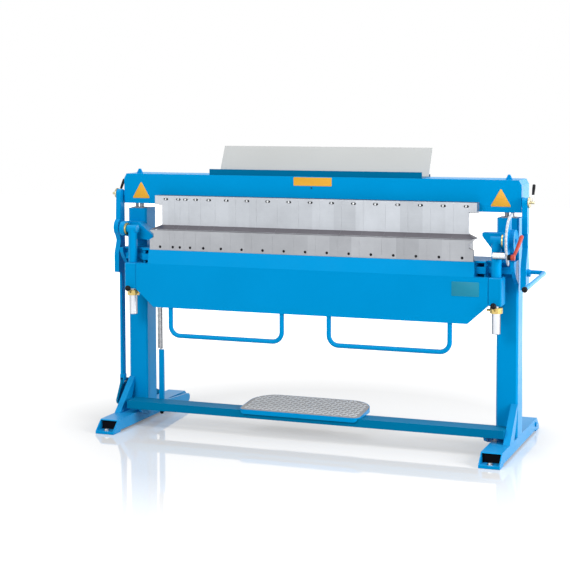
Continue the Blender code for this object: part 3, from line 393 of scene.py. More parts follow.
def add_wire(bm, path, radius, sides, rounded=False):
    """A round bar along a path, with one radius or one for each point, and flat or rounded ends."""
    widths = radius if isinstance(radius, list) else [radius] * len(path)
    if rounded:
        tip = (path[-1] - path[-2]).normalized()
        end, width = path[-1], widths[-1]
        path = path + [end + tip * width * ahead for ahead, share in round_tip]
        widths = widths + [width * share for ahead, share in round_tip]
    tangents = []
    for index in range(len(path)):
        ahead = path[min(index + 1, len(path) - 1)]
        behind = path[max(index - 1, 0)]
        tangents.append((ahead - behind).normalized())
    side = tangents[0].orthogonal().normalized()
    rings = []
    for point, tangent, width in zip(path, tangents, widths):
        side = (side - tangent * side.dot(tangent)).normalized()
        up = tangent.cross(side)
        rings.append([bm.verts.new(point + side * x + up * y) for x, y in circle(width, sides)])
    bridge(bm, rings)


def wire(name, path, radius, sides, mat, body, smooth_angle):
    """A round bar as a piece of its own."""
    bm = bmesh.new()
    add_wire(bm, path, radius, sides)
    return solid(name, bm, mat, body, smooth_angle)


def tool_edges():
    """X of the sides of the tools, from the left."""
    widths = [first_tool, *narrow_tools] + [wide_tool] * wide_tool_count
    edges = [mid_x - sum(widths) / 2]
    for width in widths:
        edges.append(edges[-1] + width)
    return edges


def tool_middles():
    edges = tool_edges()
    return [(left + right) / 2 for left, right in zip(edges, edges[1:])]


# Shader groups

def new_group(name, inputs, outputs):
    """A shader group with its sockets and its two end nodes, or the finished one without them."""
    group = bpy.data.node_groups.get(name)
    if group is not None:
        return group, None, None
    group = bpy.data.node_groups.new(name, "ShaderNodeTree")
    for label, kind, value in inputs:
        socket = group.interface.new_socket(label, in_out="INPUT", socket_type=kind)
        socket.default_value = value
    for label, kind in outputs:
        group.interface.new_socket(label, in_out="OUTPUT", socket_type=kind)
    return group, group.nodes.new("NodeGroupInput"), group.nodes.new("NodeGroupOutput")


def add(tree, kind, **values):
    """Add a node. Each value is one of its properties, or else goes to the input of that name."""
    node = tree.nodes.new("ShaderNode" + kind)
    for key, value in values.items():
        if hasattr(node, key):
            setattr(node, key, value)
        else:
            feed(tree, node.inputs[key.replace("_", " ")], value)
    return node


def feed(tree, socket, value):
    """Link an output to a socket, or set the socket to a plain value."""
    if isinstance(value, bpy.types.NodeSocket):
        tree.links.new(value, socket)
    else:
        socket.default_value = value


def math_node(tree, operation, first, second=0.5, clamp=False):
    node = add(tree, "Math", operation=operation, use_clamp=clamp)
    feed(tree, node.inputs[0], first)
    feed(tree, node.inputs[1], second)
    return node.outputs[0]


def vector_node(tree, operation, first, second=None):
    node = add(tree, "VectorMath", operation=operation)
    feed(tree, node.inputs[0], first)
    if second is not None:
        feed(tree, node.inputs["Scale" if operation == "SCALE" else 1], second)
    return node


def mix_colour(tree, factor, first, second):
    node = add(tree, "Mix", data_type="RGBA")
    for label, value in (("Factor", factor), ("A", first), ("B", second)):
        feed(tree, node.inputs[label], value)
    return node.outputs["Result"]


def split_vector(tree, vector):
    return add(tree, "SeparateXYZ", Vector=vector).outputs


def edge_group():
    """Soft normals round sharp edges, and a mask of those edges."""
    group, source, result = new_group("soft_edges", [("Radius", "NodeSocketFloat", 0.0015)],
                                      [("Normal", "NodeSocketVector"), ("Edge", "NodeSocketFloat")])
    if source is None:
        return group
    soft = add(group, "Bevel", samples=4, Radius=source.outputs["Radius"]).outputs[0]
    flat = add(group, "NewGeometry").outputs["Normal"]
    away = math_node(group, "SUBTRACT", 1.0, vector_node(group, "DOT_PRODUCT", soft, flat).outputs["Value"])
    group.links.new(soft, result.inputs["Normal"])
    group.links.new(math_node(group, "MULTIPLY", away, edge_gain, clamp=True), result.inputs["Edge"])
    return group


def mottle_group():
    """Slow variation of tone over a surface, and a fine texture height."""
    group, source, result = new_group(
        "tone_and_texture",
        [("Colour", "NodeSocketColor", (0.5, 0.5, 0.5, 1.0)), ("Spread", "NodeSocketFloat", 0.1),
         ("Tone Scale", "NodeSocketFloat", 4.0), ("Texture Scale", "NodeSocketFloat", 900.0)],
        [("Colour", "NodeSocketColor"), ("Tone", "NodeSocketFloat"), ("Height", "NodeSocketFloat")])
    if source is None:
        return group
    place = add(group, "TexCoord").outputs["Object"]
    slow = add(group, "TexNoise", Detail=3.0, Vector=place, Scale=source.outputs["Tone Scale"])
    fine = add(group, "TexNoise", Detail=2.0, Vector=place, Scale=source.outputs["Texture Scale"])
    centred = math_node(group, "SUBTRACT", slow.outputs["Fac"], 0.5)
    swing = math_node(group, "MULTIPLY", centred, source.outputs["Spread"])
    toned = vector_node(group, "SCALE", source.outputs["Colour"], math_node(group, "ADD", swing, 1.0))
    group.links.new(toned.outputs[0], result.inputs["Colour"])
    group.links.new(slow.outputs["Fac"], result.inputs["Tone"])
    group.links.new(fine.outputs["Fac"], result.inputs["Height"])
    return group


def grinding_group():
    """Fine scratches of a surface grinder along local X, and patches of duller metal."""
    group, source, result = new_group(
        "grinding_marks",
        [("Along", "NodeSocketFloat", 6.0), ("Across", "NodeSocketFloat", 700.0)],
        [("Scratch", "NodeSocketFloat"), ("Patch", "NodeSocketFloat")])
    if source is None:
        return group
    place = add(group, "TexCoord").outputs["Object"]
    across = source.outputs["Across"]
    stretch = add(group, "CombineXYZ", X=source.outputs["Along"], Y=across, Z=across)
    scaled = vector_node(group, "MULTIPLY", place, stretch.outputs[0])
    scratch = add(group, "TexNoise", Scale=1.0, Detail=4.0, Vector=scaled.outputs[0])
    patch = add(group, "TexNoise", Scale=7.0, Detail=5.0, Roughness=0.6, Vector=place)
    group.links.new(scratch.outputs["Fac"], result.inputs["Scratch"])
    group.links.new(patch.outputs["Fac"], result.inputs["Patch"])
    return group


def dust_group():
    """A thin film of workshop dust on faces that look up."""
    group, source, result = new_group(
        "settled_dust",
        [("Colour", "NodeSocketColor", (0.5, 0.5, 0.5, 1.0)), ("Amount", "NodeSocketFloat", 0.08)],
        [("Colour", "NodeSocketColor"), ("Mask", "NodeSocketFloat")])
    if source is None:
        return group
    place = add(group, "TexCoord")
    upward = math_node(group, "MULTIPLY", split_vector(group, place.outputs["Normal"])["Z"], 1.0, clamp=True)
    cloud = add(group, "TexNoise", Scale=9.0, Detail=6.0, Vector=place.outputs["Object"])
    broken = math_node(group, "MULTIPLY", upward, cloud.outputs["Fac"])
    mask = math_node(group, "MULTIPLY", broken, source.outputs["Amount"])
    dusty = mix_colour(group, mask, source.outputs["Colour"], dust_colour)
    group.links.new(dusty, result.inputs["Colour"])
    group.links.new(mask, result.inputs["Mask"])
    return group


# Materials

def start_material(name):
    """A new material with its tree and its Principled shader, or the finished one without them."""
    mat = bpy.data.materials.get(name)
    if mat is not None:
        return mat, None, None
    mat = bpy.data.materials.new(name)
    mat.use_nodes = True
    return mat, mat.node_tree, mat.node_tree.nodes["Principled BSDF"]


def use_group(tree, group, **values):
    """Outputs of a group node whose inputs are set or linked by name."""
    return add(tree, "Group", node_tree=group, **values).outputs


def shade(colour, factor, lift=0.0):
    """A colour made paler or darker, with full alpha."""
    return (*(min(1.0, part * factor + lift) for part in colour), 1.0)


def spread_value(tree, value, low, high):
    """Spread the middle of a noise over the range from low to high."""
    node = add(tree, "MapRange", clamp=True, From_Min=noise_low, From_Max=noise_high, To_Min=low,
               To_Max=high, Value=value)
    return node.outputs["Result"]


def surface(tree, shader, colour, rough, noise, height, normal, texture, depth=0.0002):
    """Give a shader its colour, a roughness range over a noise, and a texture on soft edges."""
    tree.links.new(colour, shader.inputs["Base Color"])
    tree.links.new(spread_value(tree, noise, *rough), shader.inputs["Roughness"])
    relief = add(tree, "Bump", Strength=texture, Distance=depth, Height=height, Normal=normal)
    tree.links.new(relief.outputs["Normal"], shader.inputs["Normal"])


def painted(name, colour, rough=(0.3, 0.42), texture=0.12, radius=0.0016, dust=0.03,
            tint=(1.0, 1.0, 1.0), gloss=0.3):
    """Sprayed machine enamel: orange peel, slow tone, pale worn edges and a little dust."""
    mat, tree, shader = start_material(name)
    if tree is None:
        return mat
    edges = use_group(tree, edge_group(), Radius=radius)
    tone = use_group(tree, mottle_group(), Colour=(*colour, 1.0), Spread=0.12, Tone_Scale=3.0,
                     Texture_Scale=650.0)
    rubbed = math_node(tree, "MULTIPLY", edges["Edge"], enamel_wear, clamp=True)
    worn = mix_colour(tree, rubbed, tone["Colour"], shade(colour, 1.25, 0.05))
    dusty = use_group(tree, dust_group(), Amount=dust, Colour=worn)
    surface(tree, shader, dusty["Colour"], rough, tone["Tone"], tone["Height"], edges["Normal"], texture,
            enamel_depth)
    shader.inputs["Specular Tint"].default_value = (*tint, 1.0)
    shader.inputs["Specular IOR Level"].default_value = gloss
    return mat


def ground_metal(name, colour, rough=(0.3, 0.5), along=6.0, across=700.0, metallic=1.0, rim=0.0):
    """Ground or turned metal: fine scratches, dull patches, bright edges and a painted dark rim of shade where the
    surface is seen edge-on.
    """
    mat, tree, shader = start_material(name)
    if tree is None:
        return mat
    edges = use_group(tree, edge_group(), Radius=metal_radius)
    marks = use_group(tree, grinding_group(), Along=along, Across=across)
    patches = spread_value(tree, marks["Patch"], 0.0, 1.0)
    dull = mix_colour(tree, patches, shade(colour, 0.88), shade(colour, 1.06))
    rubbed = math_node(tree, "MULTIPLY", edges["Edge"], metal_wear, clamp=True)
    bright = mix_colour(tree, rubbed, dull, shade(colour, 1.25))
    # Painted shade: the colour darkens where the surface is seen edge-on, standing for a dark reflection on round
    # metal.
    if rim > 0.0:
        facing = add(tree, "LayerWeight", Blend=grazing_shade_blend).outputs["Facing"]
        grazing_painted_shade = math_node(tree, "MULTIPLY", facing, rim, clamp=True)
        bright = mix_colour(tree, grazing_painted_shade, bright, shade(colour, 0.12))
    surface(tree, shader, bright, rough, marks["Scratch"], marks["Scratch"], edges["Normal"], 0.1)
    shader.inputs["Metallic"].default_value = metallic
    return mat


def tool_metal(name, colour, slope_painted_shade):
    """Ground tool steel: each tool a little different, and a painted shade that darkens faces looking up, such as
    the sloping noses.
    """
    mat, tree, shader = start_material(name)
    if tree is None:
        return mat
    edges = use_group(tree, edge_group(), Radius=metal_radius)
    marks = use_group(tree, grinding_group(), Along=5.0, Across=650.0)
    place = add(tree, "TexCoord").outputs
    pitch = math_node(tree, "MULTIPLY", split_vector(tree, place["Object"])["X"], 1.0 / wide_tool)
    number = math_node(tree, "FLOOR", math_node(tree, "ADD", pitch, tool_phase))
    own = add(tree, "TexWhiteNoise", noise_dimensions="1D", W=number)
    level = add(tree, "MapRange", To_Min=tool_tones[0], To_Max=tool_tones[1], Value=own.outputs["Value"])
    patches = spread_value(tree, marks["Patch"], 0.0, 1.0)
    dull = mix_colour(tree, patches, shade(colour, 0.9), shade(colour, 1.05))
    toned = vector_node(tree, "SCALE", dull, level.outputs["Result"]).outputs[0]
    # Painted shade: faces that look up, such as the sloping noses, blend towards a dark steel colour.
    upward = math_node(tree, "SUBTRACT", split_vector(tree, place["Normal"])["Z"], 0.5)
    slope = math_node(tree, "MULTIPLY", upward, slope_shade_gain, clamp=True)
    body = mix_colour(tree, slope, toned, (*slope_painted_shade, 1.0))
    rubbed = math_node(tree, "MULTIPLY", edges["Edge"], tool_wear, clamp=True)
    bright = mix_colour(tree, rubbed, body, shade(colour, 1.2))
    surface(tree, shader, bright, (0.34, 0.5), marks["Scratch"], marks["Scratch"], edges["Normal"], 0.08)
    shader.inputs["Metallic"].default_value = 0.85
    return mat


def moulded(name, colour, rough=(0.28, 0.4), texture=0.1, gloss=0.25):
    """Moulded plastic or rubber with a faint eroded texture."""
    mat, tree, shader = start_material(name)
    if tree is None:
        return mat
    edges = use_group(tree, edge_group(), Radius=metal_radius)
    tone = use_group(tree, mottle_group(), Colour=(*colour, 1.0), Spread=0.25, Tone_Scale=30.0,
                     Texture_Scale=1400.0)
    surface(tree, shader, tone["Colour"], rough, tone["Tone"], tone["Height"], edges["Normal"], texture)
    shader.inputs["Specular IOR Level"].default_value = gloss
    return mat


def scale_metal(name, colour, mark_colour, centre):
    """White enamelled arc with degree lines round the fold axis, longer every ten degrees."""
    mat, tree, shader = start_material(name)
    if tree is None:
        return mat
    place = split_vector(tree, add(tree, "TexCoord").outputs["Object"])
    across = math_node(tree, "SUBTRACT", place["Y"], centre.y)
    upward = math_node(tree, "SUBTRACT", place["Z"], centre.z)
    angle = math_node(tree, "MULTIPLY", math_node(tree, "ARCTAN2", upward, across), 180.0 / pi)
    square = math_node(tree, "ADD", math_node(tree, "MULTIPLY", across, across),
                       math_node(tree, "MULTIPLY", upward, upward))
    reach = math_node(tree, "SQRT", square)
    marks = []
    for step, width, inner in degree_lines:
        wave = math_node(tree, "PINGPONG", angle, step / 2)
        near = math_node(tree, "GREATER_THAN", wave, step / 2 - width / 2)
        far = math_node(tree, "GREATER_THAN", reach, inner)
        marks.append(math_node(tree, "MULTIPLY", near, far))
    tone = use_group(tree, mottle_group(), Colour=(*colour, 1.0), Spread=0.08, Tone_Scale=8.0,
                     Texture_Scale=900.0)
    marked = mix_colour(tree, math_node(tree, "MAXIMUM", *marks), tone["Colour"], (*mark_colour, 1.0))
    edges = use_group(tree, edge_group(), Radius=0.0006)
    surface(tree, shader, marked, (0.3, 0.42), tone["Tone"], tone["Height"], edges["Normal"], 0.05)
    return mat


def blue_paint():
    return painted("machine_blue", colours().paint, tint=colours().sheen)


# Painted shade: the treadle bar, its outer arm and its end block take a darker copy of the machine enamel,
# standing for the shade under the folding beam.
def bar_painted_shade():
    tint = colours()
    return painted("bar_blue_painted_shade", tint.bar_painted_shade, (0.5, 0.6), dust=0.0, tint=tint.sheen, gloss=0.1)


def steel():
    return ground_metal("turned_steel", colours().steel, (0.22, 0.38), along=60.0, across=900.0, rim=1.6)


def dark_steel():
    return ground_metal("blackened_steel", colours().dark_steel, (0.35, 0.5), 80.0, 80.0, metallic=0.9)


def zinc():
    return ground_metal("zinc_plate", colours().zinc, (0.28, 0.42), 90.0, 90.0, rim=1.0)


def black_plastic():
    return moulded("black_plastic", colours().black, gloss=0.1)


def matt_black():
    return moulded("matt_black", colours().black, (0.8, 0.95), 0.2, 0.04)


def tool_steel():
    return tool_metal("tool_steel", colours().tool_steel, colours().nose_painted_shade)


def rail_steel():
    return tool_metal("rail_steel", colours().rail_steel, colours().nose_painted_shade)


def cheek_steel():
    return tool_metal("cheek_steel", colours().rail_steel, colours().rail_steel)


def pale_brass():
    return ground_metal("pale_brass", colours().pale_brass, (0.3, 0.45), 80.0, 300.0, rim=0.5)


def brass():
    return ground_metal("turned_brass", colours().brass, (0.25, 0.4), 80.0, 300.0)


def red_plastic():
    return moulded("handle_red", colours().red)


# Painted shade: the tread sheet's grey is darker than the lugs' to stand for the shade between lit lugs.
def tread_grey_painted_shade():
    return painted("tread_grey_painted_shade", colours().tread, (0.45, 0.6), 0.2, 0.0008, 0.1)


# Near-black oiled steel for the rail screws and the beam screw, also used as painted shade on the slot floor
# plates.
def oiled_and_painted_shade_steel():
    return ground_metal("oiled_and_painted_shade_steel", colours().oiled_and_painted_shade, (0.4, 0.6), 80.0, 80.0, metallic=0.8)


def assign(names, mat):
    """Give CAD nodes one material each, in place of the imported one."""
    for name in names:
        nodes[name].data.materials.clear()
        nodes[name].data.materials.append(mat)


# Pieces

class BRAKE_OT_finishes(bpy.types.Operator):
    """Give every CAD node its paint, metal, plastic or rubber."""
    bl_idname = "brake.finishes"
    bl_label = "Finishes"

    def execute(self, context):
        tint = colours()
        slots = {part["node"]: part["material_slot"] for part in frame["record"]["subparts"]}
        assign([name for name, slot in slots.items() if slot == "blue_paint"], blue_paint())
        # Painted shade: the tray takes a much darker copy of the machine enamel, standing for the shade on its
        # lip.
        assign(["tool_tray"], painted("tray_blue_painted_shade", tint.tray_painted_shade, dust=0.04, tint=tint.sheen))
        # The treadle bar and outer arm get the darker enamel that is painted shade.
        assign(["treadle_bar", "outer_treadle_arm"], bar_painted_shade())
        assign(["upper_tools"], tool_steel())
        assign(["folding_rail"], rail_steel())
        assign(["lower_cheek"], cheek_steel())
        assign(["left_spindle", "right_spindle", "spindle_collar"], steel())
        assign(["left_guide_rods", "right_guide_rods", "return_spring"], dark_steel())
        assign([name for name, slot in slots.items() if slot == "brass"], brass())
        assign(["stop_lever"], red_plastic())
        assign(["tread_plate"], tread_grey_painted_shade())
        assign(["tray_panel"], painted("tray_enamel", tint.tray_sheet, (0.35, 0.5), 0.08, 0.0008, 0.05))
        assign(["angle_scale"], scale_metal("scale_enamel", tint.scale, tint.scale_mark, fold_axis))
        assign(["treadle_bumper"], matt_black())
        return {"FINISHED"}


class BRAKE_OT_tool_joints(bpy.types.Operator):
    """Steel close under the faces between neighbouring tools, so that they meet in hairlines."""
    bl_idname = "brake.tool_joints"
    bl_label = "Tool joints"

    def execute(self, context):
        size = settings()
        sunk = size.joint_recess
        face = tools_low.y + size.tool_face_setback
        back = face + size.tool_thickness - sunk
        heel = back + size.tool_heel
        low, high = tools_low.z + sunk, tools_high.z - size.tool_slot_depth - sunk
        knee = tools_low.z + size.tool_heel_height
        tool = [(tools_low.y + sunk, low), (heel, low), (heel, knee), (back, knee + size.tool_heel),
                (back, high), (face + sunk, high), (face + sunk, tools_low.z + size.tool_shoulder - sunk),
                (tools_low.y + sunk, low + size.tool_land - sunk)]
        self.add_strips("tool_joints", tool, tool_steel(), "clamp_head")
        front = rail_low.y + sunk
        back = rail_low.y + (rail_high.y - rail_low.y) * size.rail_joint_share - sunk
        low, high = rail_low.z + size.rail_joint_foot + sunk, rail_high.z - sunk
        rail = [(front, low), (back, low), (back, high), (front, high)]
        self.add_strips("rail_joints", rail, rail_steel(), "folding_leaf")
        self.add_seams()
        return {"FINISHED"}

    def add_strips(self, name, profile, mat, body):
        half = joint_width / 2 - settings().joint_play
        bm = bmesh.new()
        for x in tool_edges()[1:-1]:
            add_bar(bm, profile, x - half, x + half)
        solid(name, bm, mat, body)

    def add_seams(self):
        """Paint in the seams between the folding beam and the blocks at its ends."""
        size = settings()
        sunk = size.joint_recess
        bm = bmesh.new()
        for side in ("left", "right"):
            low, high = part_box(side + "_spindle_block")
            inner, outer = (high.x, leaf_low.x) if side == "left" else (leaf_high.x, low.x)
            play = (outer - inner) * size.seam_play
            add_box(bm, Vector((inner + play, low.y + sunk, low.z + sunk)),
                    Vector((outer - play, leaf_high.y, high.z - sunk)))
        solid("block_seams", bm, blue_paint(), "folding_leaf")


class BRAKE_OT_cheek(bpy.types.Operator):
    """Steel cheek on the lower beam, a little shorter than the row of tools."""
    bl_idname = "brake.cheek"
    bl_label = "Lower cheek"

    def execute(self, context):
        size = settings()
        low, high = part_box("lower_cheek")
        taper = size.cheek_taper
        profile = [(low.y, low.z), (high.y, low.z), (high.y, high.z - taper), (high.y - taper, high.z),
                   (low.y, high.z)]
        bm = bmesh.new()
        add_bar(bm, profile, low.x + size.cheek_setback, high.x - size.cheek_setback)
        cheek = solid("ground_cheek", bm, cheek_steel(), "frame")
        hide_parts("lower_cheek")
        return {"FINISHED"}


class BRAKE_OT_tool_screws(bpy.types.Operator):
    """Cap screws that hold each tool to the beam, one in every slot over a near-black plate at the slot's floor,
    painted shade for the recess.
    """
    bl_idname = "brake.tool_screws"
    bl_label = "Tool screws"

    def execute(self, context):
        size = settings()
        face = tools_low.y + size.tool_face_setback
        height = tools_high.z - size.tool_slot_drop
        slots = [middle + size.tool_slot_shift for middle in tool_middles()]
        seat = size.tool_slot_depth - size.slot_shade_plate - joint_gap * 2
        add_screws("tool_screws", [(x + size.tool_screw_side, face + seat, height) for x in slots],
                   size.tool_screw_radius, seat + size.tool_screw_proud, zinc(), "clamp_head")
        # Painted shade: near-black plates at the slot floors stand for the shade inside the recesses.
        floors = [(x, face + size.tool_slot_depth - joint_gap, height) for x in slots]
        add_facing_plates("slot_shade_plates", self.outline(), floors, size.slot_shade_plate, size.slot_shade_plate / 4,
                          oiled_and_painted_shade_steel(), "clamp_head", screw_edge)
        return {"FINISHED"}

    def outline(self):
        """Round-ended outline of a slot floor."""
        size = settings()
        radius = size.tool_slot_radius - size.slot_play
        straight = size.tool_slot_length / 2 - size.tool_slot_radius
        return (arc(straight, 0.0, radius, -90, 180, slot_steps)
                + arc(-straight, 0.0, radius, 90, 180, slot_steps))


class BRAKE_OT_rail_screws(bpy.types.Operator):
    """Cap screws sunk in the holes of the folding rail."""
    bl_idname = "brake.rail_screws"
    bl_label = "Rail screws"

    def execute(self, context):
        size = settings()
        seat = rail_low.y + size.rail_hole_depth - joint_gap
        height = rail_low.z + size.rail_hole_height
        add_screws("rail_screws", [(x + size.rail_hole_shift, seat, height) for x in tool_middles()],
                   size.rail_screw_radius, size.rail_screw_height, oiled_and_painted_shade_steel(), "folding_leaf")
        return {"FINISHED"}


class BRAKE_OT_foot_bolts(bpy.types.Operator):
    """Hexagon bolts inside the open ends of the feet, and behind each front one a black block, painted shade for
    the inside of the foot.
    """
    bl_idname = "brake.foot_bolts"
    bl_label = "Foot bolts"

    def execute(self, context):
        size = settings()
        for side in ("left", "right"):
            low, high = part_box(side + "_foot")
            bm = bmesh.new()
            for y in (low.y + size.foot_bolt_inset, high.y - size.foot_bolt_inset):
                place = Matrix.Translation(((low.x + high.x) / 2, y, low.z + size.foot_floor + joint_gap))
                add_hex_bolt(bm, place, size.foot_bolt_radius, size.foot_bolt_height)
            solid(side + "_foot_bolts", bm, zinc(), "frame", plate_edge)
            # Painted shade: a matt black block inside each foot darkens its open end.
            gap = size.foot_wall + skin
            near = low.y + size.shade_block_inset
            bm = bmesh.new()
            add_box(bm, Vector((low.x + gap, near, low.z + size.foot_floor + skin)),
                    Vector((high.x - gap, near + size.shade_block_length, high.z - gap)))
            solid(side + "_foot_painted_shade_block", bm, matt_black(), "frame")
        return {"FINISHED"}


class BRAKE_OT_knobs(bpy.types.Operator):
    """Black ball knobs of the two adjusters, and the hand lever with its own."""
    bl_idname = "brake.knobs"
    bl_label = "Ball knobs"

    def execute(self, context):
        radius = settings().adjuster_ball_radius
        for side in ("left", "right"):
            low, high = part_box(side + "_adjuster")
            axis = Vector(joints[side + "_adjuster_turn"]["pos_m"])
            centre = Vector((axis.x, low.y + radius, high.z - radius))
            self.add_ball(side + "_adjuster_ball", centre, radius + skin, side + "_adjuster_ring")
        self.add_hand_lever()
        return {"FINISHED"}

    def add_hand_lever(self):
        """A cranked round bar from the clamp arm, with its ball at the front."""
        size = settings()
        low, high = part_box("hand_lever")
        pivot = Vector(joints["hand_lever_turn"]["pos_m"])
        radius, bar = size.hand_ball_radius, size.hand_bar_radius
        hub, long = size.hand_hub_radius, size.hand_hub_length
        ball = Vector((high.x - radius, low.y + radius, low.z + radius))
        knee = Vector((high.x - bar - skin, pivot.y, pivot.z + size.hand_rise))
        start = Vector((low.x + long / 2, knee.y, knee.z))
        end = Vector((ball.x, ball.y + radius * ball_seat, ball.z))
        bm = bmesh.new()
        add_wire(bm, bent_path([start, knee, end], size.hand_bend, bar_steps), bar, bar_points)
        edge = hub * hub_bevel
        profile = [(0.0, 0.0), (hub, 0.0), (hub, long - edge), (hub - edge, long), (0.0, long)]
        add_profile(bm, profile, placed((low.x, pivot.y, pivot.z), rightward), hub_points)
        lever = solid("hand_bar", bm, blue_paint(), "clamp_lever", tube_edge)
        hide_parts("hand_lever")
        self.add_ball("hand_lever_ball", ball, radius, "clamp_lever")

    def add_ball(self, name, centre, radius, body):
        profile = []
        for step in range(ball_steps + 1):
            turn = pi * step / ball_steps
            profile.append((radius * sin(turn), -radius * cos(turn)))
        profile[0] = (0.0, -radius)
        profile[-1] = (0.0, radius)
        turned(name, profile, Matrix.Translation(centre), ball_points, black_plastic(), body, ball_edge)


class BRAKE_OT_clamping_levers(bpy.types.Operator):
    """Brass eccentrics at the tops of the clamp arms, each with a cranked stem and a black sleeve."""
    bl_idname = "brake.clamping_levers"
    bl_label = "Clamping levers"

    def execute(self, context):
        size = settings()
        for side, sign, bend_at, end_at in (("left", -1.0, size.left_lever_bend, size.left_lever_end),
                                            ("right", 1.0, size.right_lever_bend, size.right_lever_end)):
            low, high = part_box(side + "_eccentric")
            axis = Vector(joints[side + "_eccentric_turn"]["pos_m"])
            inner, outer = (high.x, low.x) if side == "left" else (low.x, high.x)
            self.add_disc(side, abs(outer - inner), placed((inner, axis.y, axis.z), (sign, 0, 0)))
            root = Vector((outer - sign * (size.sleeve_radius + skin), axis.y, axis.z))
            self.add_stem(side, [root, root + Vector((0.0, *bend_at)), root + Vector((0.0, *end_at))])
        return {"FINISHED"}

    def add_disc(self, side, whole, place):
        size = settings()
        radius, hub = size.eccentric_radius, size.eccentric_hub_radius
        thick, edge = whole - size.eccentric_hub, size.eccentric_edge
        profile = chamfered(radius, thick, edge)[:-1]
        profile += [(hub + edge, thick), (hub, thick + edge), (hub, whole - edge), (hub - edge, whole),
                    (0.0, whole)]
        disc = turned(side + "_eccentric_turned", profile, place, disc_points, pale_brass(),
                      side + "_eccentric_disc", plate_edge)
        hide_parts(side + "_eccentric")

    def add_stem(self, side, path):
        size = settings()
        stem, radius = size.lever_stem_radius, size.sleeve_radius
        body = side + "_eccentric_disc"
        along = (path[2] - path[1]).normalized()
        start = path[1] + along * skin
        wire(side + "_lever_stem", smooth_path(path, stem_steps), stem, stem_points, steel(), body,
             turned_edge)
        length = (path[2] - start).length + stem
        neck, shoulder, crown, bevel = (radius * share for share in sleeve_shares)
        profile = [(0.0, 0.0), (neck, 0.0), (shoulder, bevel), (radius, length * sleeve_swell),
                   (radius, length - bevel * 3), (shoulder, length - bevel), (crown, length), (0.0, length)]
        turned(side + "_lever_sleeve", profile, placed(start, along), sleeve_points, black_plastic(), body,
               turned_edge)


class BRAKE_OT_angle_stop(bpy.types.Operator):
    """Red clamping handle on a black stud, and the steel pin that meets it."""
    bl_idname = "brake.angle_stop"
    bl_label = "Angle stop"

    def execute(self, context):
        size = settings()
        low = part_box("stop_lever")[0]
        centre = Vector((low.x, low.y + size.stop_hub_radius, low.z + size.stop_hub_radius))
        self.add_handle(centre)
        self.add_stud(centre)
        self.add_pin()
        return {"FINISHED"}

    def add_handle(self, centre):
        size = settings()
        radius = size.stop_hub_radius
        near, far, edge = size.stop_stud_length, size.stop_hub_end, size.stop_hub_edge
        foot, swell, brim, crown = (radius * share for share in hub_shares)
        hub = [(0.0, near), (foot, near), (swell, near + edge), (radius, far * belly_share),
               (brim, far - edge), (crown, far), (0.0, far)]
        bm = bmesh.new()
        add_profile(bm, hub, placed(centre, rightward), ball_points)
        root = centre + Vector(((near + far) / 2, 0.0, 0.0))
        reach = Vector(size.stop_arm)
        knee = root + Vector([part * share for part, share in zip(reach, arm_knee)])
        path = smooth_path([root, knee, root + reach], bar_steps)
        widths = [size.stop_arm_root + (size.stop_arm_tip - size.stop_arm_root) * step / (len(path) - 1)
                  for step in range(len(path))]
        add_wire(bm, path, widths, bar_points, rounded=True)
        handle = solid("clamping_handle", bm, red_plastic(), "angle_stop", tube_edge)
        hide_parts("stop_lever")

    def add_stud(self, centre):
        size = settings()
        radius, far = size.stop_stud_radius, size.stop_stud_length - joint_gap
        edge = radius * stud_bevel
        profile = [(0.0, joint_gap), (radius - edge, joint_gap), (radius, edge + joint_gap), (radius, far),
                   (0.0, far)]
        turned("stop_lever_stud", profile, placed(centre, rightward), hub_points, black_plastic(),
               "angle_stop", turned_edge)

    def add_pin(self):
        size = settings()
        low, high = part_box("spindle_collar")
        head_low, head_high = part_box("right_hinge_head")
        start = Vector((head_low.x + size.pin_inset, fold_axis.y - size.pin_forward, (low.z + high.z) / 2))
        length = head_high.x - start.x - size.pin_edge
        pin = turned("stop_pin", chamfered(size.pin_radius, length, size.pin_edge), placed(start, rightward),
                     pin_points, steel(), "folding_leaf", plate_edge)
        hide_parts("spindle_collar")


class BRAKE_OT_washers(bpy.types.Operator):
    """Broad brass thrust washers at both ends of the fold axis."""
    bl_idname = "brake.washers"
    bl_label = "Thrust washers"

    def execute(self, context):
        size = settings()
        for side in ("left", "right"):
            low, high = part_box(side + "_hinge_washer")
            profile = chamfered(size.washer_radius, high.x - low.x, size.washer_edge)
            middle = (low.x, (low.y + high.y) / 2, (low.z + high.z) / 2)
            washer = turned(side + "_thrust_washer", profile, placed(middle, rightward), disc_points,
                            brass(), "folding_leaf", plate_edge)
            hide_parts(side + "_hinge_washer")
        return {"FINISHED"}


class BRAKE_OT_grips(bpy.types.Operator):
    """Bent tube handles under the folding beam."""
    bl_idname = "brake.grips"
    bl_label = "Tube grips"

    def execute(self, context):
        size = settings()
        inset = size.grip_old_radius
        for side in ("left", "right"):
            low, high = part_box(side + "_grip")
            depth, floor = (low.y + high.y) / 2, low.z + inset
            left, right = low.x + inset + size.grip_shift, high.x - inset
            corners = [Vector((x, depth, z)) for x, z in ((left, high.z), (left, floor), (right, floor),
                                                          (right, high.z))]
            grip = wire(side + "_tube_grip", bent_path(corners, size.grip_bend, grip_steps),
                        size.grip_radius, bar_points, blue_paint(), "folding_leaf", tube_edge)
            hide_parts(side + "_grip")
        return {"FINISHED"}


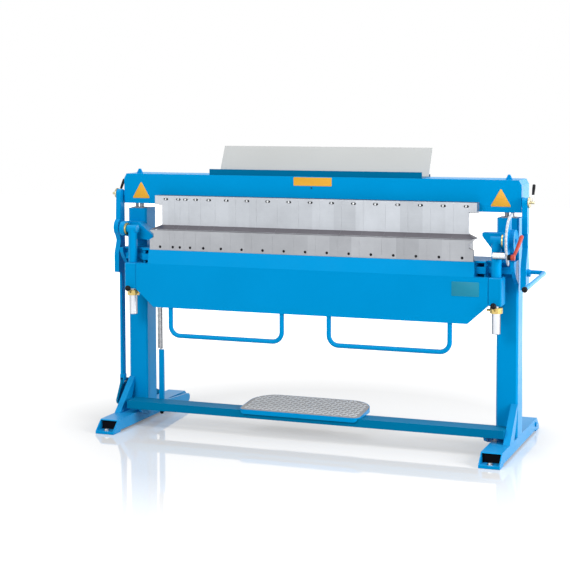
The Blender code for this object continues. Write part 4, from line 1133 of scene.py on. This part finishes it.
class BRAKE_OT_plates(bpy.types.Operator):
    """Plain plates without words or signs, and a small screw in the upper beam."""
    bl_idname = "brake.plates"
    bl_label = "Plain plates"

    def execute(self, context):
        size = settings()
        amber, teal = (painted(label + "_plate", shade, (0.35, 0.45), 0.04, 0.0004, 0.0)
                       for label, shade in (("amber", colours().amber), ("teal", colours().teal)))
        front = beam_low.y - joint_gap
        half = size.triangle_side / 2
        corners = [(-half, 0.0), (half, 0.0), (0.0, size.triangle_side * sin(pi / 3))]
        triangle = rounded_polygon(corners, size.triangle_corner)
        for label, sign in (("left", -1.0), ("right", 1.0)):
            spot = (mid_x + sign * size.triangle_reach, front, size.triangle_base)
            self.add_plain(label + "_amber_plate", triangle, spot, amber, "clamp_head")
        strip = self.rectangle(size.strip_left, size.strip_right, size.strip_bottom, size.strip_top)
        self.add_plain("amber_strip", strip, (0.0, front, 0.0), amber, "clamp_head")
        add_screws("beam_plug", [(mid_x + size.plug_side, front, size.plug_height)], size.plug_radius,
                   size.plug_radius * plug_rise, oiled_and_painted_shade_steel(), "clamp_head")
        rating = self.rectangle(size.rating_left, size.rating_right, size.rating_bottom, size.rating_top)
        self.add_plain("rating_plate_blank", rating, (0.0, leaf_low.y - joint_gap, 0.0), teal,
                       "folding_leaf")
        return {"FINISHED"}

    def rectangle(self, left, right, low, high):
        left, right = mid_x + left, mid_x + right
        corners = [(left, low), (right, low), (right, high), (left, high)]
        return rounded_polygon(corners, settings().plate_corner)

    def add_plain(self, name, outline, spot, mat, body):
        thickness = settings().plate_thickness
        add_facing_plates(name, outline, [spot], thickness, thickness / 3, mat, body, plate_edge)


class BRAKE_OT_tread(bpy.types.Operator):
    """Pedal: a blue skirted pan that carries a grey lugged sheet with wide rear corners."""
    bl_idname = "brake.tread"
    bl_label = "Tread"

    def execute(self, context):
        self.add_pan()
        self.add_sheet()
        self.add_lugs()
        return {"FINISHED"}

    def outline(self, inset):
        """Corners in order round the sheet, from the left front one, in the sheet's own plane."""
        size = settings()
        left, right = size.tread_left + inset, size.tread_right - inset
        near, far = inset, size.tread_depth - inset
        front, rear = size.tread_front_corner - inset, size.tread_rear_corner - inset
        return (arc(left + front, near + front, front, 180, 90, tread_steps)
                + arc(right - front, near + front, front, 270, 90, tread_steps)
                + arc(right - rear, far - rear, rear, 0, 90, tread_steps)
                + arc(left + rear, far - rear, rear, 90, 90, tread_steps))

    def place(self, point, above):
        """A point of the sheet's plane in the frame."""
        size = settings()
        along, lift = cos(size.tread_slope), sin(size.tread_slope)
        return Vector((point[0], size.tread_front + point[1] * along - above * lift,
                       size.tread_level + point[1] * lift + above * along))

    def ring(self, bm, points, above):
        return [bm.verts.new(self.place(point, above)) for point in points]

    def add_pan(self):
        """Skirt hanging from the sheet's rim, cut away over the bar."""
        size = settings()
        bar_low, bar_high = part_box("treadle_bar")
        over_bar = bar_high.z + size.pan_clearance
        notch = bar_low.y - size.pan_notch
        rim = -size.tread_sheet * size.pan_rim_share
        bm = bmesh.new()
        tops = [self.ring(bm, self.outline(inset), rim) for inset in (0.0, size.pan_wall)]
        feet = []
        for line in tops:
            foot = []
            for top in (vert.co for vert in line):
                ahead = min(1.0, max(0.0, (notch - top.y) / (notch - size.tread_front)))
                low = over_bar + (top.z - size.pan_skirt - over_bar) * ahead ** 0.5
                foot.append(bm.verts.new((top.x, top.y, min(low, top.z - size.pan_wall / 2))))
            feet.append(foot)
        bridge(bm, [tops[0], feet[0], feet[1], tops[1], tops[0]], capped=False)
        pan = solid("pedal_pan", bm, blue_paint(), "treadle", turned_edge)
        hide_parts("tread_pan")

    def add_sheet(self):
        size = settings()
        sheet = size.tread_sheet
        inset, bevel = size.pan_wall + joint_gap * 4, sheet * sheet_bevel
        bm = bmesh.new()
        bridge(bm, [self.ring(bm, self.outline(gap), above) for gap, above in (
            (inset, -sheet * sheet_depth), (inset, -bevel), (inset + bevel, 0.0))])
        plate = solid("pedal_sheet", bm, tread_grey_painted_shade(), "treadle", turned_edge)
        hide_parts("tread_plate")

    def add_lugs(self):
        """Lugs in rows, each turned the other way from its neighbours."""
        size = settings()
        pitch = size.lug_pitch
        width = size.tread_right - size.tread_left
        across = int((width - pitch) / pitch)
        along = int((size.tread_depth - pitch * row_margin) / pitch)
        start_x = size.tread_left + (width - (across - 1) * pitch) / 2
        start_y = (size.tread_depth - (along - 1) * pitch) / 2
        bm = bmesh.new()
        for column in range(across):
            for row in range(along):
                spot = (start_x + column * pitch, start_y + row * pitch)
                if not self.outside(spot):
                    self.add_lug(bm, spot, pi / 4 if (column + row) % 2 else -pi / 4)
        # Painted highlight and shade: the lugs take a lighter grey than the sheet, standing for lit lug faces with
        # shade between them.
        lug_grey_painted_highlight = painted("lug_grey_painted_highlight", colours().lug, (0.3, 0.45), 0.1, 0.0004, 0.0)
        solid("pedal_lugs", bm, lug_grey_painted_highlight, "treadle", lug_edge)

    def outside(self, spot):
        """True where a lug would reach past the sheet's rounded corners."""
        size = settings()
        near = size.tread_rear_corner
        reach = max(size.tread_left + near - spot[0], spot[0] - (size.tread_right - near), 0.0)
        depth = max(spot[1] - (size.tread_depth - near), 0.0)
        return (reach * reach + depth * depth) ** 0.5 > near - size.lug_length * lug_clearance

    def add_lug(self, bm, spot, turn):
        size = settings()
        high = size.lug_height
        rings = []
        for share, level in ((1.0, -skin), *((share, high * rise) for share, rise in lug_shape)):
            points = []
            for x, y in circle(share / 2, lug_points):
                x, y = x * size.lug_length, y * size.lug_width
                points.append((spot[0] + x * cos(turn) - y * sin(turn),
                               spot[1] + x * sin(turn) + y * cos(turn)))
            rings.append(self.ring(bm, points, level))
        bridge(bm, rings)


class BRAKE_OT_bar_fittings(bpy.types.Operator):
    """End block of the treadle bar towards the right brace, and the small rubber stop under the bar."""
    bl_idname = "brake.bar_fittings"
    bl_label = "Bar fittings"

    def execute(self, context):
        size = settings()
        low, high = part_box("treadle_bar")
        brace_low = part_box("right_brace")[0]
        edge = size.bar_end_inset
        bm = bmesh.new()
        add_box(bm, Vector((high.x + joint_gap, low.y + edge, low.z + edge)),
                Vector((brace_low.x - size.bar_end_gap, high.y - edge, high.z - edge)))
        # The end block takes the same painted shade as the bar.
        solid("bar_end", bm, bar_painted_shade(), "treadle")
        low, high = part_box("treadle_bumper")
        spot = Vector((high.x + size.bumper_shift, (low.y + high.y) / 2, high.z - joint_gap))
        radius, tall = size.bumper_radius, size.bumper_height
        profile = [(0.0, 0.0), (radius, 0.0), (radius, tall * stop_belly), (radius * stop_nose, tall),
                   (0.0, tall)]
        stop = turned("rubber_stop", profile, placed(spot, downward), sleeve_points, matt_black(), "treadle",
                      screw_edge)
        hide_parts("treadle_bumper")
        return {"FINISHED"}


class BRAKE_OT_clevis(bpy.types.Operator):
    """Fork and pin that join the pull strip to the outer treadle arm."""
    bl_idname = "brake.clevis"
    bl_label = "Pull strip fork"

    def execute(self, context):
        size = settings()
        strip_low, strip_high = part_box("pull_strip")
        arm_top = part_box("outer_treadle_arm")[1].z
        top, bottom = strip_low.z + size.fork_overlap, arm_top - size.fork_drop
        back, front = strip_high.y - size.fork_inset, strip_low.y + size.fork_inset
        corners = [(front, bottom), (back, bottom), (back, top), (front, top)]
        outline = rounded_polygon(corners, size.fork_corner)
        wide, thick, pin = size.fork_thickness, size.fork_pin_height, size.fork_pin
        head = [(0.0, 0.0), (pin, 0.0), (pin, thick * pin_flat), (pin * pin_crown, thick), (0.0, thick)]
        fork, pins = bmesh.new(), bmesh.new()
        for x, out in ((strip_low.x, -1.0), (strip_high.x, 1.0)):
            turn = Matrix(((0, 0, out, 0), (1, 0, 0, 0), (0, 1, 0, 0), (0, 0, 0, 1)))
            place = Matrix.Translation((x + out * joint_gap, 0.0, 0.0)) @ turn
            add_plate(fork, outline, place, wide, wide / 5)
            spot = (x + out * (wide + joint_gap * 2), (front + back) / 2, (bottom + arm_top) / 2)
            add_profile(pins, head, placed(spot, (out, 0, 0)), screw_points)
        solid("pull_strip_fork", fork, blue_paint(), "clamp_head", screw_edge)
        solid("pull_strip_pin", pins, zinc(), "clamp_head", screw_edge)
        return {"FINISHED"}


class BRAKE_OT_spring(bpy.types.Operator):
    """Close-wound return spring with its hooks, in place of the plain coil."""
    bl_idname = "brake.spring"
    bl_label = "Return spring"

    def execute(self, context):
        size = settings()
        low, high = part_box("return_spring")
        middle = Vector(((low.x + high.x) / 2, (low.y + high.y) / 2, 0.0))
        coil = (high.x - low.x) / 2 - size.spring_wire
        hook = size.spring_hook
        count = size.spring_turns * size.spring_steps
        path = [middle + Vector((0.0, 0.0, height)) for height in (low.z, low.z + hook / 2)]
        for step in range(count + 1):
            angle = 2 * pi * step / size.spring_steps
            height = low.z + hook + (high.z - low.z - hook * 2) * step / count
            path.append(middle + Vector((coil * cos(angle), coil * sin(angle), height)))
        path += [middle + Vector((0.0, 0.0, height)) for height in (high.z - hook / 2, high.z)]
        spring = wire("spring_wire", path, size.spring_wire, wire_points, dark_steel(), "frame", ball_edge)
        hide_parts("return_spring")
        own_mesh(spring)
        return {"FINISHED"}


class BRAKE_OT_stage(bpy.types.Operator):
    """Pale floor, white surroundings, soft lamps and the camera at the photograph's place."""
    bl_idname = "brake.stage"
    bl_label = "Stage"

    def execute(self, context):
        scene = context.scene
        self.add_floor()
        self.add_world(scene)
        self.add_lamps(scene)
        self.add_camera(scene)
        scene.view_settings.view_transform = "Standard"
        return {"FINISHED"}

    def add_floor(self):
        """A pale floor that keeps the shadow near the machine and fades to white around it."""
        place = stage_settings()
        wide = place.floor_size
        bm = bmesh.new()
        bm.faces.new([bm.verts.new((x * wide, y * wide, cad_low.z - place.floor_drop)) for x, y in
                      ((-1, -1), (1, -1), (1, 1), (-1, 1))])
        mat, tree, shader = start_material("pale_floor")
        tone = use_group(tree, mottle_group(), Colour=(*place.floor_colour, 1.0), Spread=0.02,
                         Tone_Scale=0.6, Texture_Scale=60.0)
        tree.links.new(tone["Colour"], shader.inputs["Base Color"])
        shader.inputs["Roughness"].default_value = place.floor_roughness
        where = add(tree, "TexCoord").outputs["Object"]
        reach = vector_node(tree, "LENGTH", where).outputs["Value"]
        fade = add(tree, "MapRange", clamp=True, From_Min=place.floor_near, From_Max=place.floor_far,
                   To_Min=place.floor_glow, To_Max=1.0, Value=reach)
        rays = add(tree, "LightPath").outputs
        seen = math_node(tree, "MAXIMUM", rays["Is Camera Ray"], rays["Is Glossy Ray"])
        glow = add(tree, "Emission", Strength=math_node(tree, "MULTIPLY", seen, fade.outputs["Result"]))
        total = add(tree, "AddShader")
        tree.links.new(shader.outputs[0], total.inputs[0])
        tree.links.new(glow.outputs[0], total.inputs[1])
        tree.links.new(total.outputs[0], tree.nodes["Material Output"].inputs["Surface"])
        solid("floor", bm, mat, None)

    def add_world(self, scene):
        """White where it is seen, and a weaker light from all sides."""
        scene.world = bpy.data.worlds.new("studio")
        scene.world.use_nodes = True
        tree = scene.world.node_tree
        rays = add(tree, "LightPath").outputs
        fill = stage_settings().fill
        seen = math_node(tree, "MAXIMUM", rays["Is Camera Ray"], rays["Is Transmission Ray"])
        seen = math_node(tree, "MAXIMUM", seen, rays["Is Glossy Ray"])
        strength = math_node(tree, "ADD", math_node(tree, "MULTIPLY", seen, 1.0 - fill), fill)
        backdrop = tree.nodes["Background"]
        tree.links.new(strength, backdrop.inputs["Strength"])
        backdrop.inputs["Color"].default_value = (1.0, 1.0, 1.0, 1.0)

    def add_lamps(self, scene):
        target = Vector((mid_x, 0.0, lamp_target_height))
        place = stage_settings()
        powers = (place.right_power, place.rear_power, place.front_power, place.top_power)
        for (name, spot, width, height), power in zip(lamps, powers):
            lamp = bpy.data.lights.new(name, "AREA")
            lamp.shape = "RECTANGLE"
            lamp.size = width
            lamp.size_y = height
            lamp.energy = power
            obj = bpy.data.objects.new(name, lamp)
            scene.collection.objects.link(obj)
            obj.location = spot
            obj.rotation_euler = (target - Vector(spot)).to_track_quat("-Z", "Y").to_euler()

    def add_camera(self, scene):
        """Level right and up from yaw, then pitch down and a slight roll."""
        place = stage_settings()
        yaw, pitch, roll = place.camera_yaw, place.camera_pitch, place.camera_roll
        right = Vector((cos(yaw), sin(yaw), 0.0))
        level = Vector((-sin(yaw), cos(yaw), 0.0))
        forward_view = level * cos(pitch) - Vector((0.0, 0.0, sin(pitch)))
        up = Vector((0.0, 0.0, cos(pitch))) + level * sin(pitch)
        rolled_right = right * cos(roll) + up * sin(roll)
        rolled_up = up * cos(roll) - right * sin(roll)
        turn = Matrix((rolled_right, rolled_up, -forward_view)).transposed().to_4x4()
        lens = bpy.data.cameras.new("photo_view")
        lens.sensor_width = camera_sensor
        lens.lens = place.camera_lens
        lens.shift_y = place.camera_shift
        camera = bpy.data.objects.new("photo_view", lens)
        scene.collection.objects.link(camera)
        camera.matrix_world = Matrix.Translation(fold_axis + Vector(place.camera_place)) @ turn
        scene.camera = camera


# Settings

def length(text, value):
    return bpy.props.FloatProperty(name=text, default=value, unit="LENGTH", precision=5)


def number(text, value, **limits):
    return bpy.props.FloatProperty(name=text, default=value, **limits)


def lengths(text, value):
    return bpy.props.FloatVectorProperty(name=text, default=value, size=len(value), unit="LENGTH",
                                         precision=5)


def angle(text, degrees):
    return bpy.props.FloatProperty(name=text, default=radians(degrees), subtype="ANGLE")


def colour(text, value):
    return bpy.props.FloatVectorProperty(name=text, default=value, size=3, subtype="COLOR", min=0.0, max=1.0)


class BrakeSizes(bpy.types.PropertyGroup):
    tool_face_setback: length("Depth from the nose to the face of the tools", 0.0400)
    tool_thickness: length("Thickness of the tools", 0.0200)
    tool_heel: length("Depth of the tools' heels", 0.0040)
    tool_heel_height: length("Height of the tools' heels", 0.0260)
    tool_shoulder: length("Height where the nose slope meets the face", 0.0195)
    tool_land: length("Height of the flat on the nose", 0.0015)
    joint_recess: length("Depth of the joints between tools", 0.00015)
    seam_play: number("Gap at each side of the block seams, as a share of their width", 0.12)
    joint_play: length("Gap at each side of a joint", 0.00004)
    rail_joint_share: number("Depth of the joints in the rail, as a share of its thickness", 0.7)
    rail_joint_foot: length("Height of the joints above the rail's foot", 0.0050)
    tool_slot_length: length("Length of the slots in the tools", 0.0240)
    tool_slot_radius: length("Radius of the slots' ends", 0.0055)
    # Painted shade: the dark washers in the slots are near-black plates that stand for the shade in the recesses.
    slot_play: length("Gap round the washers in the slots", 0.0007)
    slot_shade_plate: length("Thickness of the dark washers in the slots", 0.0010)
    cheek_taper: length("Bevel at the cheek's rear top edge", 0.0200)
    cheek_setback: length("Distance of the cheek's ends from the tools' ends", 0.0220)
    foot_wall: length("Wall of the feet", 0.0045)
    # Painted shade: the black plugs are blocks that darken the inside of the feet.
    shade_block_inset: length("Place of the black plugs from the foot's ends", 0.0580)
    shade_block_length: length("Length of the black plugs", 0.0120)
    plug_side: length("Place of the small screw on the beam from the middle", -0.0050)
    plug_height: length("Height of that screw", 1.1285)
    plug_radius: length("Radius of that screw", 0.0036)
    bar_end_inset: length("Inset of the bar's end block", 0.0004)
    bar_end_gap: length("Gap from the bar's end block to the brace", 0.0012)
    bumper_shift: length("Place of the rubber stop from the packed one", 0.0090)
    bumper_radius: length("Radius of the rubber stop", 0.0085)
    bumper_height: length("Height of the rubber stop", 0.0150)
    tool_slot_drop: length("Height of the slots below the top of the tools", 0.0165)
    tool_slot_depth: length("Depth of the slots in the tools", 0.0050)
    tool_slot_shift: length("Shift of each slot to the right of its tool's middle", 0.0050)
    tool_screw_side: length("Place of the screw in its slot", -0.0015)
    tool_screw_radius: length("Head radius of the tool screws", 0.0046)
    tool_screw_proud: length("Height of the heads above the tools", 0.0010)
    rail_hole_shift: length("Shift of each hole from its segment's middle", 0.0022)
    rail_hole_height: length("Height of the holes above the rail's foot", 0.0150)
    rail_hole_depth: length("Depth of the holes in the rail", 0.0100)
    rail_screw_radius: length("Head radius of the rail screws", 0.0060)
    rail_screw_height: length("Height of the rail screw heads", 0.0097)
    foot_bolt_inset: length("Place of the foot bolts from the foot's end", 0.0220)
    foot_floor: length("Height of the floor inside the foot", 0.0125)
    foot_bolt_radius: length("Corner radius of the foot bolts", 0.0100)
    foot_bolt_height: length("Height of the foot bolt heads", 0.0070)
    adjuster_ball_radius: length("Radius of the adjuster balls", 0.0130)
    hand_ball_radius: length("Radius of the hand lever's ball", 0.0125)
    hand_bar_radius: length("Radius of the hand lever's bar", 0.0094)
    hand_rise: length("Height of the hand bar above its pivot", 0.0045)
    hand_bend: length("Bend radius of the hand bar", 0.0240)
    hand_hub_radius: length("Radius of the hand lever's hub", 0.0165)
    hand_hub_length: length("Length of the hand lever's hub", 0.0120)
    washer_radius: length("Radius of the thrust washers", 0.0285)
    washer_edge: length("Chamfer of the thrust washers", 0.0008)
    grip_radius: length("Radius of the grips' tube", 0.0108)
    grip_old_radius: length("Place of the tube's middle inside the packed grip", 0.0090)
    grip_shift: length("Shift of the grips' left legs", 0.0030)
    grip_bend: length("Bend radius of the grips", 0.0450)
    eccentric_hub: length("Length of the hub on each eccentric", 0.0190)
    eccentric_hub_radius: length("Radius of that hub", 0.0060)
    eccentric_radius: length("Radius of the brass eccentrics", 0.0240)
    eccentric_edge: length("Chamfer of the brass eccentrics", 0.0010)
    left_lever_bend: lengths("Bend of the left clamping lever, rearward and up", (0.0600, 0.0100))
    left_lever_end: lengths("End of the left clamping lever, rearward and up", (0.1000, 0.0600))
    right_lever_bend: lengths("Bend of the right clamping lever, rearward and up", (0.0020, 0.0330))
    right_lever_end: lengths("End of the right clamping lever, rearward and up", (0.0230, 0.0740))
    lever_stem_radius: length("Radius of the stems of the clamping levers", 0.0032)
    sleeve_radius: length("Radius of the sleeves on the clamping levers", 0.0068)
    stop_hub_radius: length("Radius of the red handle's hub", 0.0130)
    stop_hub_end: length("Outer end of the hub from the scale", 0.0310)
    stop_hub_edge: length("Rounding of the ends of the red hub", 0.0020)
    stop_stud_radius: length("Radius of the stud behind the stop lever", 0.0120)
    stop_stud_length: length("Length of that stud", 0.0130)
    stop_arm: lengths("Reach of the red handle from its hub", (0.0260, 0.0480, 0.0830))
    stop_arm_root: length("Radius of the red arm at its hub", 0.0065)
    stop_arm_tip: length("Radius of the red arm at its tip", 0.0088)
    pin_radius: length("Radius of the steel stop pin", 0.0155)
    pin_edge: length("Chamfer of the stop pin", 0.0012)
    pin_inset: length("Start of the stop pin from the hinge head's inner side", 0.0172)
    pin_forward: length("Place of the stop pin in front of the fold axis", 0.0350)
    plate_thickness: length("Thickness of the plain plates", 0.0012)
    plate_corner: length("Corner radius of the plain plates", 0.0030)
    triangle_side: length("Side of the amber triangles", 0.0920)
    triangle_corner: length("Corner radius of the amber triangles", 0.0040)
    triangle_reach: length("Place of the triangles from the middle", 0.8648)
    triangle_base: length("Height of the triangles' base", 1.0645)
    strip_left: length("Left end of the amber strip", -0.0917)
    strip_right: length("Right end of the amber strip", 0.0917)
    strip_bottom: length("Lower edge of the amber strip", 1.1378)
    strip_top: length("Upper edge of the amber strip", 1.1762)
    rating_left: length("Left end of the rating-plate blank", 0.6786)
    rating_right: length("Right end of the rating-plate blank", 0.7992)
    rating_bottom: length("Lower edge of the rating-plate blank", 0.6843)
    rating_top: length("Upper edge of the rating-plate blank", 0.7467)
    tread_slope: angle("Slope of the tread sheet", 5.4)
    tread_sheet: length("Thickness of the tread sheet", 0.0030)
    tread_left: length("Left edge of the tread", -0.3415)
    tread_right: length("Right edge of the tread", 0.2382)
    tread_front: length("Front edge of the tread", -0.1719)
    tread_level: length("Height of the tread's front edge", 0.1224)
    tread_depth: length("Depth of the tread", 0.2559)
    tread_front_corner: length("Radius of the tread's front corners", 0.0300)
    tread_rear_corner: length("Radius of the tread's rear corners", 0.1140)
    pan_wall: length("Thickness of the pan's skirt", 0.0025)
    pan_skirt: length("Depth of the pan's skirt at the front", 0.0205)
    pan_notch: length("Gap between the deep skirt and the bar", 0.0040)
    pan_clearance: length("Gap between the skirt and the bar under it", 0.0006)
    pan_rim_share: number("Depth of the rim below the sheet's top, in sheet thicknesses", 0.25)
    lug_pitch: length("Distance between tread lugs", 0.0208)
    lug_length: length("Length of each lug", 0.0275)
    lug_width: length("Width of each lug", 0.0095)
    lug_height: length("Height of each lug", 0.0018)
    fork_overlap: length("Reach of the fork up the pull strip", 0.0200)
    fork_drop: length("Reach of the fork down the treadle arm", 0.0220)
    fork_inset: length("Inset of the fork from the strip's edges", 0.0030)
    fork_corner: length("Corner radius of the fork", 0.0060)
    fork_thickness: length("Thickness of the fork's cheeks", 0.0035)
    fork_pin: length("Head radius of the fork's pin", 0.0070)
    fork_pin_height: length("Height of the pin's heads", 0.0040)
    spring_wire: length("Radius of the spring's wire", 0.0020)
    spring_hook: length("Length of each hook of the spring", 0.0050)
    spring_turns: bpy.props.IntProperty(name="Turns of the spring", default=52)
    spring_steps: bpy.props.IntProperty(name="Points in each turn", default=18)


class BrakeColours(bpy.types.PropertyGroup):
    paint: colour("Machine enamel", (0.0, 0.255, 0.575))
    # Painted shade: a darker copy of the machine enamel for the treadle bar under the beam.
    bar_painted_shade: colour("Enamel of the treadle bar in the shade", (0.0, 0.16, 0.33))
    sheen: colour("Tint of the enamel's reflections", (0.0, 0.45, 0.9))
    # Painted shade: darker than the machine enamel, for the shaded lip of the tray.
    tray_painted_shade: colour("Enamel of the tray", (0.0, 0.11, 0.24))
    tool_steel: colour("Ground steel of the upper tools", (0.385, 0.405, 0.435))
    rail_steel: colour("Ground steel of the rail and cheek", (0.305, 0.315, 0.335))
    # Painted shade: the dark colour taken by faces that look up on the tools and rail.
    nose_painted_shade: colour("Sloping noses of the tools", (0.15, 0.14, 0.155))
    steel: colour("Spindles, stop pin and lever stems", (0.62, 0.64, 0.68))
    dark_steel: colour("Guide rods and spring", (0.22, 0.24, 0.27))
    # Oiled steel of the screws, and painted shade on the slot floor plates.
    oiled_and_painted_shade: colour("Rail screws, slot floors and the screw in the beam", (0.010, 0.010, 0.012))
    zinc: colour("Foot bolts, tool screws and fork pins", (0.68, 0.70, 0.72))
    brass: colour("Washers and adjuster rings", (0.52, 0.39, 0.14))
    pale_brass: colour("Eccentrics", (0.48, 0.42, 0.26))
    red: colour("Stop lever", (0.42, 0.05, 0.03))
    # This black, through the matt material, also fills the feet as painted shade.
    black: colour("Knobs, sleeves and rubber", (0.007, 0.007, 0.009))
    # Painted shade and highlight: the tread sheet and its lugs are shaded and lit copies of one grey.
    tread: colour("Tread sheet", (0.26, 0.26, 0.27))
    lug: colour("Raised lugs on the tread sheet", (0.47, 0.49, 0.51))
    tray_sheet: colour("Sheet that stands in the tray", (0.45, 0.46, 0.455))
    scale: colour("Angle scale", (0.50, 0.53, 0.58))
    scale_mark: colour("Degree lines", (0.02, 0.02, 0.025))
    amber: colour("Plain triangles and strip", (0.72, 0.36, 0.02))
    teal: colour("Rating-plate blank", (0.0, 0.22, 0.34))


class BrakeStage(bpy.types.PropertyGroup):
    floor_size: length("Half width of the floor", 14.0)
    floor_drop: length("Gap between the floor and the feet", 0.0005)
    floor_colour: colour("Tone of the pale floor", (0.62, 0.62, 0.62))
    floor_glow: number("White added where the camera sees the floor", 0.13, min=0.0, max=1.0)
    floor_roughness: number("Roughness of the floor", 0.05, min=0.0, max=1.0)
    floor_near: length("Reach of the floor that keeps the shadow", 1.0)
    floor_far: length("Reach where the floor is white", 3.0)
    fill: number("Strength of the light from all sides", 0.36)
    right_power: number("Power of the right lamp", 190.0, unit="POWER")
    rear_power: number("Power of the rear lamp", 60.0, unit="POWER")
    front_power: number("Power of the front lamp", 150.0, unit="POWER")
    top_power: number("Power of the top lamp", 90.0, unit="POWER")
    camera_place: lengths("Camera from the fold axis", (2.2381, -6.0474, 0.6013))
    camera_yaw: angle("Turn of the view to the left", 21.1349)
    camera_pitch: angle("Tilt of the view downward", 3.3496)
    camera_roll: angle("Roll of the view", -0.1633)
    camera_lens: number("Focal length in millimetres", 91.219)
    camera_shift: number("Upright shift of the lens", -0.17604)


OPERATORS = (BRAKE_OT_finishes, BRAKE_OT_tool_joints, BRAKE_OT_cheek, BRAKE_OT_tool_screws,
             BRAKE_OT_rail_screws, BRAKE_OT_foot_bolts, BRAKE_OT_knobs, BRAKE_OT_clamping_levers,
             BRAKE_OT_angle_stop, BRAKE_OT_washers, BRAKE_OT_grips, BRAKE_OT_plates, BRAKE_OT_tread,
             BRAKE_OT_bar_fittings, BRAKE_OT_clevis, BRAKE_OT_spring, BRAKE_OT_stage)


class BRAKE_PT_panel(bpy.types.Panel):
    bl_label = "Box and pan brake"
    bl_idname = "BRAKE_PT_panel"
    bl_space_type = "VIEW_3D"
    bl_region_type = "UI"
    bl_category = "Brake"

    def draw(self, context):
        column = self.layout.column()
        for operator in OPERATORS:
            column.operator(operator.bl_idname)
        for group in (context.scene.pan_brake_sizes, context.scene.pan_brake_colours,
                      context.scene.pan_brake_stage):
            box = self.layout.box()
            for key in group.__annotations__:
                box.prop(group, key)


CLASSES = (BrakeSizes, BrakeColours, BrakeStage, *OPERATORS, BRAKE_PT_panel)


def register():
    for cls in CLASSES:
        bpy.utils.register_class(cls)
    bpy.types.Scene.pan_brake_sizes = bpy.props.PointerProperty(type=BrakeSizes)
    bpy.types.Scene.pan_brake_colours = bpy.props.PointerProperty(type=BrakeColours)
    bpy.types.Scene.pan_brake_stage = bpy.props.PointerProperty(type=BrakeStage)


def unregister():
    del bpy.types.Scene.pan_brake_stage
    del bpy.types.Scene.pan_brake_colours
    del bpy.types.Scene.pan_brake_sizes
    for cls in reversed(CLASSES):
        bpy.utils.unregister_class(cls)


def main():
    register()
    bpy.ops.brake.finishes()
    bpy.ops.brake.tool_joints()
    bpy.ops.brake.cheek()
    bpy.ops.brake.tool_screws()
    bpy.ops.brake.rail_screws()
    bpy.ops.brake.foot_bolts()
    bpy.ops.brake.knobs()
    bpy.ops.brake.clamping_levers()
    bpy.ops.brake.angle_stop()
    bpy.ops.brake.washers()
    bpy.ops.brake.grips()
    bpy.ops.brake.plates()
    bpy.ops.brake.tread()
    bpy.ops.brake.bar_fittings()
    bpy.ops.brake.clevis()
    bpy.ops.brake.spring()
    bpy.ops.brake.stage()


if __name__ == "__main__":
    main()
